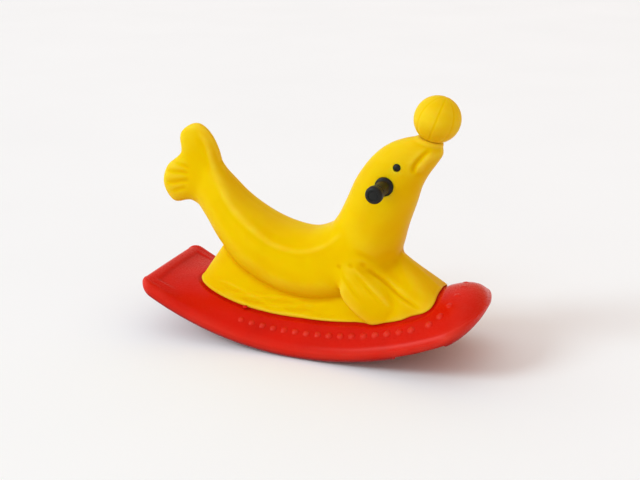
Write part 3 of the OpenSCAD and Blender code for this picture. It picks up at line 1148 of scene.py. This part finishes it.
@dataclass
class Eyes:
    """The two black eyes, domed buttons pushed into the head."""

    place: Row = (209.0, 50.0, 471.0)
    across: float = 18.2
    # Height over all, and height of the straight side below the dome
    rise: float = 8.0
    flank: float = 2.0
    # Height of the rounded edge, and the share of the dome that is left above it
    edge_r: float = 0.8
    dome_share: float = 0.94
    dome_points: int = 24

    def profile(self) -> Rows:
        """Draws half a button, from the middle of its back to the top of its dome.

        Returns:
            Radius and height of each point.
        """
        dome_h = self.rise - self.flank
        half = self.across / 2
        dome_r = (half**2 + dome_h**2) / (2 * dome_h)
        reach = math.asin(half / dome_r) * self.dome_share
        dome = arc(0, self.rise - dome_r, dome_r, 90 - math.degrees(reach), 90, self.dome_points)
        return ((0.0, 0.0), (half, 0.0), (half, self.flank - self.edge_r), *dome[:-1], (0.0, self.rise))

    def build(self, look: bpy.types.Material) -> list[bpy.types.Object]:
        """Makes both eyes.

        Args:
            look: their material.

        Returns:
            The finished pieces, left and right.
        """
        eyes = []
        for side in Side:
            word = side.name.lower()
            eye = turned(f"eye_button_{word}", self.profile())
            eye.data.transform(on_flank(side, self.place))
            eyes.append(finish_piece(eye, look, Body.ROCKER, f"eye_{word}"))
        return eyes


@dataclass
class Handle:
    """The black grips on the bar through the head, each with a cap over its screw."""

    place: Row = (182.0, 57.4, 426.0)
    length: float = 84.0
    # Collar at the head, with its front edge and its back edge
    collar_r: float = 22.0
    collar_t: float = 8.0
    edge_r: float = 4.0
    back_r: float = 2.0
    # Waist: its radius and its belly, then the sweeps at its two ends by length, start and rise
    waist_r: float = 16.2
    belly: float = 0.6
    sweep_l: float = 7.0
    sweep_start: float = 1.5
    collar_sweep: float = 3.0
    knob_sweep: float = 2.5
    waist_steps: int = 6
    # Knob at the end
    knob_r: float = 20.5
    knob_l: float = 24.0
    knob_edge_r: float = 8.0
    # Seat of the cap in the knob, with its play and the rounding of its mouth
    cap_r: float = 11.0
    cap_t: float = 7.0
    cap_play: float = 0.2
    mouth_r: float = 0.7
    # Cap: its play in the seat and behind, its edge with its middle below the end, and its dome
    cap_gap: float = 0.1
    cap_back: float = 0.4
    cap_edge_r: float = 1.0
    cap_edge_drop: float = 1.9
    cap_edge_turn: float = 70.0
    dome_share: float = 0.86
    dome_h: float = 0.7
    dome_drop: float = 0.3
    dome_points: int = 8
    # Faces round each piece
    steps: int = 96

    def grip_profile(self) -> Rows:
        """Draws half a grip, from the head outwards.

        Returns:
            Radius and height of each point.
        """
        knob_z = self.length - self.knob_l
        knob_in = self.knob_r - self.knob_edge_r
        collar_in = self.collar_r - self.edge_r
        mouth = self.cap_r + self.cap_play
        waist = through(
            np.array([
                (collar_in, self.collar_t),
                (self.waist_r + self.collar_sweep, self.collar_t + self.sweep_start),
                (self.waist_r, self.collar_t + self.sweep_l),
                (self.waist_r + self.belly, (self.collar_t + knob_z) / 2),
                (self.waist_r, knob_z - self.sweep_l),
                (self.waist_r + self.knob_sweep, knob_z - self.sweep_start),
                (knob_in, knob_z),
            ]),
            self.waist_steps,
        )
        return (
            (0.0, 0.0),
            *arc(self.collar_r - self.back_r, self.back_r, self.back_r, -90, 0),
            *arc(collar_in, self.collar_t - self.edge_r, self.edge_r, 0, 90),
            *[tuple(row) for row in waist[1:-1]],
            *arc(knob_in, knob_z + self.knob_edge_r, self.knob_edge_r, -90, 0),
            *arc(knob_in, self.length - self.knob_edge_r, self.knob_edge_r, 0, 90),
            *arc(mouth + self.mouth_r, self.length - self.mouth_r, self.mouth_r, 90, 180),
            (mouth, self.length - self.cap_t),
            (0.0, self.length - self.cap_t),
        )

    def cap_profile(self) -> Rows:
        """Draws half a cap, slightly domed.

        Returns:
            Radius and height of each point.
        """
        back = self.length - self.cap_t + self.cap_back
        radius = self.cap_r - self.cap_gap
        edge_z = self.length - self.cap_edge_drop
        top = self.length - self.dome_drop
        shares = np.linspace(1, 0, self.dome_points)
        dome = [(self.cap_r * self.dome_share * s, top - self.dome_h * s**2) for s in shares]
        return (
            (0.0, back),
            (radius, back),
            *arc(radius - self.cap_edge_r, edge_z, self.cap_edge_r, 0, self.cap_edge_turn),
            *dome,
        )

    def build(self, look: bpy.types.Material) -> list[bpy.types.Object]:
        """Makes both grips and their caps.

        Args:
            look: their material.

        Returns:
            The finished pieces.
        """
        pieces = []
        for side in Side:
            word = side.name.lower()
            for kind, profile in (("grip", self.grip_profile()), ("grip_cap", self.cap_profile())):
                piece = turned(f"{kind}_moulding_{word}", profile, self.steps)
                piece.data.transform(on_flank(side, self.place))
                pieces.append(finish_piece(piece, look, Body.HANDLE, f"{kind}_{word}"))
        return pieces


@dataclass(frozen=True)
class Stroke:
    """A groove or a ridge drawn on both flanks of the seal, as seen from the side.

    Its points are X and Z, its height is negative for a groove, its width is half of what it covers, and it
    fades over a share of its length at each end.
    """

    points: Rows
    width: float
    height: float
    fade: float
    # Steps of the curve between two points, and the sideways share of a normal where a stroke shows
    steps: int = 6
    flank: Row = (0.1, 0.45)

    def lift(self, places: np.ndarray, normals: np.ndarray) -> np.ndarray:
        """Lays the stroke on a skin.

        Args:
            places: the points of the skin, in millimetres.
            normals: their normals.

        Returns:
            How far each point moves along its normal, in millimetres.
        """
        away, along = beside(places[:, [0, 2]], through(np.array(self.points, float), self.steps))
        ends = ease(along, 0, self.fade) * ease(1 - along, 0, self.fade) if self.fade else 1.0
        flank = ease(np.abs(normals[:, 1]), *self.flank)
        return self.height * np.exp(-((away / self.width) ** 2)) * ends * flank


@dataclass
class SealBody:
    """The yellow moulding: trunk, head, tail fin, fore flippers and the plinth under them."""

    base: RockerBase
    ball: Ball
    eyes: Eyes
    handle: Handle
    # Ribs, tail to nose: back x z, belly x z, half width, height of the widest point, shape of the top
    ribs: Rows = (
        (-300, 456, -352, 374, 16, 0.50, 2.8),
        (-268, 438, -332, 326, 30, 0.50, 3.0),
        (-230, 384, -296, 283, 49, 0.50, 3.2),
        (-190, 344, -255, 228, 65, 0.48, 3.2),
        (-135, 310, -195, 168, 80, 0.45, 3.0),
        (-75, 290, -105, 124, 88, 0.40, 2.8),
        (-15, 286, -15, 106, 91, 0.39, 2.6),
        (34, 306, 68, 114, 92, 0.42, 2.4),
        (54, 330, 150, 150, 92, 0.45, 2.3),
        (67, 355, 201, 232, 88, 0.48, 2.2),
        (81, 387, 225, 318, 78, 0.50, 2.2),
        (97, 425, 243, 374, 68, 0.50, 2.2),
        (118, 459, 255, 416, 60, 0.50, 2.2),
        (144, 490, 271, 448, 54, 0.50, 2.2),
        (174, 513, 289, 475, 48, 0.50, 2.2),
        (206, 527, 302, 499, 40, 0.50, 2.2),
        (237, 535, 296, 524, 29, 0.50, 2.2),
    )
    belly_shape: float = 2.2
    # Steps between two ribs, and points round each
    rib_steps: int = 8
    rib_points: int = 96
    # Tail fin: its middle, its outline, its half thickness, the power that makes it flat, and its mesh
    fin_mid: Row = (-322, 412)
    fin_outline: Rows = (
        (-258, 428), (-282, 492), (-322, 522), (-367, 496), (-369, 445), (-411, 405), (-423, 356),
        (-395, 314), (-346, 321), (-300, 304), (-264, 345),
    )
    fin_half_t: float = 24.0
    fin_flat: int = 4
    fin_steps: int = 12
    fin_rings: int = 33
    # Plinth: foot and top, as half superellipses that differ at the front and the rear, how far the top
    # rises to its two ends, and how far the floor lies below the deck
    plinth_x: float = -10.0
    plinth_rear: float = 308.0
    plinth_front: float = 324.0
    plinth_half_w: float = 88.0
    plinth_top_x: float = -22.0
    plinth_top_rear: float = 221.0
    plinth_top_front: float = 202.0
    plinth_top_half_w: float = 54.0
    plinth_top_z: float = 178.0
    plinth_rear_rise: float = 57.0
    plinth_front_rise: float = 97.0
    plinth_sink: float = 8.0
    # How square its corners are, as powers of a superellipse: at the front of the foot, where the front
    # wall ends, and at the rear. The last number is how fast the front corners round off with height
    front_square: float = 9.0
    wall_square: float = 2.8
    rear_square: float = 2.7
    rounding: float = 2.6
    # How much wider the plinth is below the flippers, at its foot, at its top and half way up, and the
    # shares of its front half where that begins and is full
    flare: float = 7.0
    top_flare: float = 4.0
    wall_swell: float = 8.0
    flare_along: Row = (0.4, 0.6)
    # Degrees by which the points round the plinth move to its sides, where they lie furthest apart
    crowding: float = 14.0
    # Points round the plinth, and rings of its floor and of its wall
    plinth_points: int = 144
    floor_rings: int = 9
    wall_rings: int = 12
    # Flipper ribs: x y z, half width, half thickness
    flipper_ribs: Rows = (
        (94, 74, 262, 20, 12),
        (114, 79, 242, 48, 15),
        (140, 82, 215, 73, 14),
        (170, 83, 188, 79, 13),
        (200, 82, 160, 76, 11),
        (224, 80, 138, 68, 9),
        (240, 79, 124, 48, 6),
    )
    # Degrees by which a rib leans, and the share of its reach by which it tucks in
    flipper_lean: float = 48.0
    flipper_tuck: float = 0.2
    # Share of the half width on the front side, and the tuck that runs the leaf into the plinth there
    flipper_front: float = 0.4
    front_tuck: float = 0.75
    flipper_steps: int = 6
    flipper_points: int = 48
    # Skin of the moulding: its voxel, then share and rounds of the smoothing before and after it is carved
    voxel: float = 3.0
    first_smooth: tuple[float, int] = (0.5, 6)
    last_smooth: tuple[float, int] = (0.4, 2)
    # The gap that it leaves on the deck
    seat_gap: float = 0.8
    # Play round a grip's collar and behind it, play round an eye, how far the ball is pressed into its cup,
    # and the length of the cutters
    collar_play: float = 0.5
    collar_back: float = 0.4
    eye_play: float = 0.2
    ball_press: float = 0.4
    cut_l: float = 60.0
    # How far a point stands out to be palest, as painted highlight and rubbing, and lies in to be deepest,
    # as painted shade
    fold_reach: float = 1.4
    strokes: tuple[Stroke, ...] = (
        # Ridge that parts the flank from the seat, from the tail fin to the shoulder
        Stroke(
            (
                (-316, 511), (-290, 476), (-268, 418), (-215, 341), (-158, 295), (-96, 260), (-38, 248),
                (11, 255), (53, 277), (91, 312),
            ),
            9, 2.4, 0.1,
        ),
        # Flipper: the long groove, the ridge in front of it, and two fainter grooves
        Stroke(((142, 237), (164, 221), (199, 195), (228, 174), (261, 157), (290, 146)), 4, -2.4, 0.3),
        Stroke(((151, 241), (178, 222), (211, 194), (236, 179), (270, 164)), 9, 1.8, 0.3),
        Stroke(((115, 236), (144, 203), (174, 171), (206, 144)), 5, -1.4, 0.5),
        Stroke(((86, 228), (102, 203), (128, 172), (154, 144)), 5, -1.4, 0.5),
        # Knuckles at the head of the grooves
        Stroke(((84, 231), (88, 229)), 4.5, -1.7, 0),
        Stroke(((113, 238), (117, 236)), 4.5, -1.7, 0),
        Stroke(((141, 240), (145, 238)), 4.5, -1.7, 0),
        # Shoulder fold
        Stroke(((112, 271), (135, 265), (158, 254), (175, 239)), 8, -1.5, 0.4),
        # Mouth and lower jaw
        Stroke(((283, 518), (267, 503), (255, 488), (247, 474), (246, 457)), 6, -3.0, 0.2),
        Stroke(((290, 508), (277, 492), (263, 474), (255, 455)), 8, 3.2, 0.3),
        # Fan of the lower tail lobe
        Stroke(((-329, 408), (-350, 414), (-371, 418), (-392, 420)), 5, -1.2, 0.35),
        Stroke(((-335, 395), (-355, 397), (-393, 397), (-416, 396)), 6, -1.8, 0.35),
        Stroke(((-335, 380), (-347, 378), (-375, 371), (-401, 366), (-420, 362)), 7, -2.2, 0.35),
        Stroke(((-345, 362), (-365, 354), (-400, 340)), 6, -1.5, 0.4),
    )
    # Lines along which one form runs softly into the next, and how far the softness reaches
    soft_lines: tuple[tuple[Rows, float], ...] = (
        # Trunk into tail fin
        (((-296, 480), (-318, 420), (-345, 345)), 34.0),
        (((-284, 486), (-268, 450), (-246, 415)), 24.0),
        # Shoulder into flipper: behind, above and in front
        (((100, 268), (80, 242), (75, 212)), 24.0),
        (((100, 268), (135, 262), (165, 245), (195, 218), (225, 190), (255, 160), (262, 135)), 18.0),
        # Neck into plinth
        (((170, 236), (192, 250)), 14.0),
    )
    # Distance from the middle plane where the softness begins and is full. Then its step and rounds
    soft_y: Row = (6.0, 18.0)
    soft_step: float = 0.7
    soft_rounds: int = 140
    # Ripples of the plinth: where they run, the height of each above the foot, and the wave's height and
    # length. Each next one is longer by some millimetres and shifted by some radians. Then the ridge's half
    # width, height and fade
    ripple_x: Row = (-275.0, 75.0)
    ripple_points: int = 22
    ripple_rise: Row = (13.0, 26.0, 39.0)
    ripple_wave: float = 4.0
    ripple_l: float = 120.0
    ripple_more: float = 17.0
    ripple_shift: float = 2.0
    ripple_ridge: Row = (5.0, 1.0, 0.2)
    # Rolled edge of the plinth: its bead with height above the deck, half width and the X where it runs out,
    # and the turn inwards with the heights where it is full and ends
    foot_bead: float = 1.6
    bead_rise: float = 5.0
    bead_w: float = 3.5
    bead_end_x: Row = (40.0, 100.0)
    foot_turn: float = 2.2
    turn_rise: Row = (0.5, 4.5)
    # Lip that holds the ball, and the heights where it begins and is full
    lip_h: float = 4.2
    lip_w: float = 6.0
    lip_z: Row = (500.0, 515.0)

    def trunk(self) -> bpy.types.Object:
        """The trunk and the head, lofted over the ribs.

        Returns:
            The new object.
        """
        rows = through(np.array(self.ribs, float), self.rib_steps)
        back, belly = rows[:, 0:2], rows[:, 2:4]
        share = rows[:, 5:6]
        mid = belly + share * (back - belly)
        angle = np.linspace(0, math.tau, self.rib_points, endpoint=False)[None, :]
        upper = np.sin(angle) > 0
        power = 2 / np.where(upper, rows[:, 6:7], self.belly_shape)
        reach = np.where(upper, 1 - share, share) * bulge(np.sin(angle), power)
        place = mid[:, None, :] + reach[..., None] * (back - belly)[:, None, :]
        y = rows[:, 4:5] * bulge(np.cos(angle), power)
        return loft("trunk", np.stack([place[..., 0], y, place[..., 1]], axis=2))

    def fin(self) -> bpy.types.Object:
        """The tail fin, a pillow on its outline.

        Returns:
            The new object.
        """
        mid = np.array(self.fin_mid, float)
        outline = through(np.array(self.fin_outline, float), self.fin_steps, closed=True) - mid
        turn = np.linspace(0, math.pi, self.fin_rings)
        scale = np.sin(turn)
        thick = self.fin_half_t * np.sign(np.cos(turn)) * np.sqrt(np.maximum(1 - scale**self.fin_flat, 0))
        place = mid + scale[:, None, None] * outline[None]
        y = np.broadcast_to(thick[:, None], place.shape[:2])
        return loft("fin", np.stack([place[..., 0], y, place[..., 1]], axis=2))

    def way_round(self, up: float) -> tuple[np.ndarray, np.ndarray, np.ndarray, np.ndarray]:
        """Runs round the plinth at one height.

        Args:
            up: the height as a share, 0 at the foot and 1 at the top.

        Returns:
            By place: whether it lies in the front half, how far along and across the plinth it lies as
            shares from -1 to 1, and how far the plinth widens there as a share from 0 to 1.
        """
        turn = np.linspace(0, math.tau, self.plinth_points, endpoint=False)
        angle = turn + math.radians(self.crowding) * np.sin(2 * turn)
        front = np.cos(angle) > 0
        square = self.wall_square + (self.front_square - self.wall_square) * (1 - up) ** self.rounding
        power = 2 / np.where(front, square, self.rear_square)
        along, across = bulge(np.cos(angle), power), bulge(np.sin(angle), power)
        return front, along, across, ease(along, *self.flare_along)

    def foot(self) -> np.ndarray:
        """The outline of the plinth's foot.

        Returns:
            X and Y of each point.
        """
        front, along, across, ahead = self.way_round(0)
        x = self.plinth_x + np.where(front, self.plinth_front, self.plinth_rear) * along
        return np.stack([x, (self.plinth_half_w + self.flare * ahead) * across], axis=1)

    def wall(self, up: float) -> np.ndarray:
        """One ring of the plinth's wall.

        Args:
            up: the height as a share, 0 at the foot and 1 at the top.

        Returns:
            X, Y and Z of each point.
        """
        front, along, across, ahead = self.way_round(up)
        low = np.where(front, self.plinth_front, self.plinth_rear)
        high = np.where(front, self.plinth_top_front, self.plinth_top_rear)
        x = self.plinth_x + up * (self.plinth_top_x - self.plinth_x) + (low + up * (high - low)) * along
        low_w = self.plinth_half_w + self.flare * ahead
        high_w = self.plinth_top_half_w + self.top_flare * ahead
        # A parabola, 1 half way up and 0 at both ends
        midway = 4 * up * (1 - up)
        y = (low_w + up * (high_w - low_w)) * across
        y = y + midway * self.wall_swell * ahead * across**3
        rise = np.where(front, self.plinth_front_rise, self.plinth_rear_rise)
        top_z = self.plinth_top_z + rise * along**2
        foot_z = self.base.deck(*self.foot().T)
        return np.stack([x, y, foot_z + up * (top_z - foot_z)], axis=1)

    def plinth(self) -> bpy.types.Object:
        """The plinth, from below the deck up into the trunk.

        Returns:
            The new object.
        """
        foot_x, foot_y = self.foot().T
        rings = []
        for share in np.linspace(0, 1, self.floor_rings):
            x = self.plinth_x + share * (foot_x - self.plinth_x)
            y = share * foot_y
            rings.append(np.stack([x, y, self.base.deck(x, y) - self.plinth_sink], axis=1))
        rings += [self.wall(up) for up in np.linspace(0, 1, self.wall_rings)]
        return loft("plinth", np.array(rings))

    def flipper(self, side: Side) -> bpy.types.Object:
        """One fore flipper, a broad leaf from the shoulder to the deck.

        Args:
            side: the side of the seal.

        Returns:
            The new object.
        """
        rows = through(np.array(self.flipper_ribs, float), self.flipper_steps)
        angle = np.linspace(0, math.tau, self.flipper_points, endpoint=False)[None, :]
        lean = math.radians(self.flipper_lean)
        ahead = np.cos(angle) > 0
        reach = rows[:, 3:4] * np.cos(angle) * np.where(ahead, self.flipper_front, 1)
        tuck = np.where(ahead, self.front_tuck, self.flipper_tuck)
        out = rows[:, 1:2] - tuck * reach - rows[:, 4:5] * np.sin(angle)
        x = rows[:, 0:1] + reach * math.cos(lean)
        z = rows[:, 2:3] + reach * math.sin(lean)
        return loft("flipper", np.stack([x, side.value * out, z], axis=2))

    def ripples(self) -> list[Stroke]:
        """Long wavy ridges on the plinth, parallel to its foot.

        Returns:
            One stroke for each ridge.
        """
        x = np.linspace(*self.ripple_x, self.ripple_points)
        foot = self.base.deck(x, np.full_like(x, self.plinth_half_w))
        strokes = []
        for k, rise in enumerate(self.ripple_rise):
            length = self.ripple_l + self.ripple_more * k
            wave = self.ripple_wave * np.sin(math.tau * x / length + self.ripple_shift * k)
            strokes.append(Stroke(tuple(zip(x, foot + rise + wave)), *self.ripple_ridge))
        return strokes

    def soften(self, body: bpy.types.Object) -> None:
        """Smooths the flanks along the soft lines.

        Args:
            body: the seal's skin.
        """
        places = points_of(body) / MM
        weight = np.zeros(len(places))
        for line, reach in self.soft_lines:
            away, _ = beside(places[:, [0, 2]], np.array(line, float))
            weight = np.maximum(weight, np.exp(-((away / reach) ** 2)))
        weight *= ease(np.abs(places[:, 1]), *self.soft_y)
        relax(body, weight, self.soft_step, self.soft_rounds)

    def carve(self, body: bpy.types.Object) -> None:
        """Draws the strokes on both flanks, rolls the plinth's foot and raises the lip under the ball.

        Args:
            body: the seal's skin.
        """
        places = points_of(body) / MM
        normals = points_of(body, "normal")
        lift = sum(stroke.lift(places, normals) for stroke in (*self.strokes, *self.ripples()))
        above = places[:, 2] - self.base.deck(places[:, 0], places[:, 1])
        rear = 1 - ease(places[:, 0], *self.bead_end_x)
        lift += self.foot_bead * np.exp(-(((above - self.bead_rise) / self.bead_w) ** 2)) * rear
        lift -= self.foot_turn * (1 - ease(above, *self.turn_rise))
        from_ball = np.linalg.norm(places - np.array(self.ball.centre), axis=1) - self.cup_r()
        lift += self.lip_h * np.exp(-((from_ball / self.lip_w - 1) ** 2)) * ease(places[:, 2], *self.lip_z)
        move_points(body, (places + lift[:, None] * normals) * MM)

    def cup_r(self) -> float:
        """Radius of the cup that the ball is pressed into."""
        return self.ball.radius - self.ball_press

    def seats(self) -> bpy.types.Object:
        """The cutters for the grip collars, the eyes and the ball.

        Returns:
            The cutters, as one object.
        """
        holes = (
            (self.handle.place, self.handle.collar_r + self.collar_play, self.collar_back),
            (self.eyes.place, self.eyes.across / 2 + self.eye_play, 0.0),
        )
        pieces = []
        for side in Side:
            for (x, y, z), radius, back in holes:
                place = (x * MM, side.value * (y - back + self.cut_l / 2) * MM, z * MM)
                size = {"radius": radius * MM, "depth": self.cut_l * MM, "rotation": (math.pi / 2, 0, 0)}
                pieces.append(primitive("cylinder", vertices=96, location=place, **size))
        place = [v * MM for v in self.ball.centre]
        cup = primitive("uv_sphere", segments=96, ring_count=48, radius=self.cup_r() * MM, location=place)
        return joined("seats", [*pieces, cup])

    def build(self, look: bpy.types.Material) -> bpy.types.Object:
        """Makes the moulding.

        Args:
            look: its material.

        Returns:
            The finished piece.
        """
        parts = [self.trunk(), self.fin(), self.plinth(), *(self.flipper(side) for side in Side)]
        body = joined("seal_body_moulding", parts)
        apply(body, "REMESH", mode="VOXEL", voxel_size=self.voxel * MM)
        share, rounds = self.first_smooth
        apply(body, "SMOOTH", factor=share, iterations=rounds)
        self.soften(body)
        self.carve(body)
        share, rounds = self.last_smooth
        apply(body, "SMOOTH", factor=share, iterations=rounds)
        deck = self.base.skin()
        move_points(deck, points_of(deck) + np.array([0, 0, self.seat_gap * MM]))
        work_in(body, deck, Join.CUT)
        work_in(body, self.seats(), Join.CUT)
        work_in(body, self.base.lugs(self.seat_gap), Join.CUT)
        mark_folds(body, self.fold_reach)
        return finish_piece(body, look, Body.ROCKER, "seal_body")


@dataclass
class Studio:
    """The floor, the soft lights and the camera."""

    # The camera looks at a point in the middle plane from this side, height and distance
    azimuth: float = 21.13
    elevation: float = 18.115
    distance: float = 2500.0
    target_z: float = 300.0
    # The photograph's frame, the focal length in its pixels, and where the target lies in it
    frame_px: Row = (640.0, 480.0)
    focal_px: float = 1028.8
    target_px: Row = (318.5, 222.13)
    sensor_mm: float = 36.0
    # Side of the floor, in metres
    floor_size: float = 40.0
    # The key light: its direction, its watts per square metre and its breadth in degrees
    key_way: Row = (-0.66, -0.52, 0.58)
    key_power: float = 1.35
    key_breadth: float = 22.0
    key_colour: str = "#E4FAFF"
    # The walls' light: warm across from the key light, and brighter on its side
    far_wall: str = "#D89248"
    near_wall: str = "#F4FAFF"
    wall_power: float = 1.0

    @staticmethod
    def hang(name: str, data: bpy.types.ID, back: Vector, place: Vector) -> bpy.types.Object:
        """Sets up a light or a camera.

        Args:
            name: name of the new object.
            data: the light or the camera.
            back: the direction that its back points in.
            place: where it is, in metres.

        Returns:
            The new object.
        """
        thing = bpy.data.objects.new(name, data)
        bpy.context.scene.collection.objects.link(thing)
        thing.location = place
        thing.rotation_euler = back.to_track_quat("Z", "Y").to_euler()
        return thing

    def camera(self) -> bpy.types.Object:
        """Sets the camera where the photograph was taken from.

        Returns:
            The camera.
        """
        data = bpy.data.cameras.new("camera")
        width, height = self.frame_px
        data.sensor_width = self.sensor_mm
        data.lens = self.focal_px / width * self.sensor_mm
        data.shift_x = ((width - 1) / 2 - self.target_px[0]) / width
        data.shift_y = (self.target_px[1] - (height - 1) / 2) / width
        a, e = math.radians(self.azimuth), math.radians(self.elevation)
        back = Vector((math.sin(a) * math.cos(e), -math.cos(a) * math.cos(e), math.sin(e)))
        target = Vector((0, 0, self.target_z * MM))
        return self.hang("camera", data, back, target + back * self.distance * MM)

    def key_light(self) -> bpy.types.Object:
        """Lets in the key light, as broad and even as a wall of windows gives it.

        Returns:
            The light.
        """
        data = bpy.data.lights.new("key_light", "SUN")
        data.energy = self.key_power
        data.color = linear(self.key_colour)[:3]
        data.angle = math.radians(self.key_breadth)
        return self.hang("key_light", data, Vector(self.key_way), Vector())

    def air(self) -> bpy.types.World:
        """The light that the studio's walls give: bright on the key light's side and dim across from it.

        Returns:
            The world.
        """
        world = bpy.data.worlds.new("studio_air")
        world.use_nodes = True
        tree = world.node_tree
        tree.nodes.clear()
        way = add_node(tree, "TexCoord", out="Generated")
        key_way = Vector(self.key_way).normalized()
        facing = add_node(tree, "VectorMath", (way, key_way), "Value", operation="DOT_PRODUCT")
        nearness = add_node(tree, "MapRange", (facing, -1.0, 1.0, 0.0, 1.0))
        mix = {FACTOR: nearness, FIRST: linear(self.far_wall), SECOND: linear(self.near_wall)}
        paint = add_node(tree, "Mix", mix, RESULT, data_type="RGBA")
        walls = add_node(tree, "Background", {"Color": paint, "Strength": self.wall_power})
        add_node(tree, "OutputWorld", {"Surface": walls})
        return world

    def build(self) -> None:
        """Lays the floor, hangs the lights and sets the camera."""
        floor = primitive("plane", size=self.floor_size)
        floor.name = "studio_floor"
        dress(floor, StudioSweep().material())
        self.key_light()
        scene = bpy.context.scene
        scene.world = self.air()
        scene.view_settings.view_transform = "Standard"
        scene.camera = self.camera()


def dress_nodes(looks: dict[Slot, bpy.types.Material]) -> list[bpy.types.Object]:
    """Gives the CAD nodes that still show the finish of their slot.

    Args:
        looks: the finishes by slot.

    Returns:
        The dressed nodes.
    """
    slots = {
        "ball_peg": Slot.YELLOW,
        "handle_bar": Slot.ZINC,
        "grip_screws": Slot.ZINC,
        "base_bolts": Slot.ZINC,
        "bolt_washers": Slot.ZINC,
        "plinth_inserts": Slot.ZINC,
        "sole_plugs": Slot.BLACK,
    }
    return [dress(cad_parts[name], looks[slot]) for name, slot in slots.items()]


def main() -> None:
    """Builds the sub-assemblies in order and reports each piece, then sets up the studio."""
    logging.basicConfig(level=logging.INFO, format="%(message)s")
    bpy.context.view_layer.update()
    finishes = {
        # In both plastics the deep colour is painted shade in hollows and underneath as well as cloudy
        # patches, and the pale colour is a painted highlight with some rubbing on raised edges
        Slot.YELLOW: BlownPolyethylene(
            "yellow_polyethylene", colour="#E8C000", deep_and_shade="#D69200", pale_tone="#F0D23C", sheen="#FFDC50",
            glow_mm=9.0, glow=(1.0, 0.4, 0.06), gloss=0.04, under_shade=0.5, seam_mm=1.6,
        ),
        Slot.RED: BlownPolyethylene(
            "red_polyethylene", colour="#D41804", deep_and_shade="#900300", pale_tone="#DC4A3A", sheen="#FFB0A8",
            glow_mm=6.0, glow=(1.0, 0.10, 0.05), gloss=0.14, under_shade=1.0, roughness=0.28,
        ),
        Slot.BLACK: MouldedPolypropylene("black_polypropylene", colour="#0D0E0A", pale_tone="#171712"),
        Slot.ZINC: BrightZinc("bright_zinc", colour="#C6CACD", dull="#A9ADB0"),
    }
    looks = {slot: finish.material() for slot, finish in finishes.items()}
    base = RockerBase.from_frame()
    ball = Ball()
    eyes = Eyes()
    handle = Handle()
    seal = SealBody(base, ball, eyes, handle)
    pieces = [
        base.build(looks[Slot.RED], seal.foot()),
        seal.build(looks[Slot.YELLOW]),
        ball.build(looks[Slot.YELLOW]),
        *eyes.build(looks[Slot.BLACK]),
        *handle.build(looks[Slot.BLACK]),
        *dress_nodes(looks),
    ]
    for piece in pieces:
        look = piece.data.materials[0].name
        log.info("%s: %d points, in %s", piece.name, len(piece.data.vertices), look)
    Studio().build()


if __name__ == "__main__":
    main()
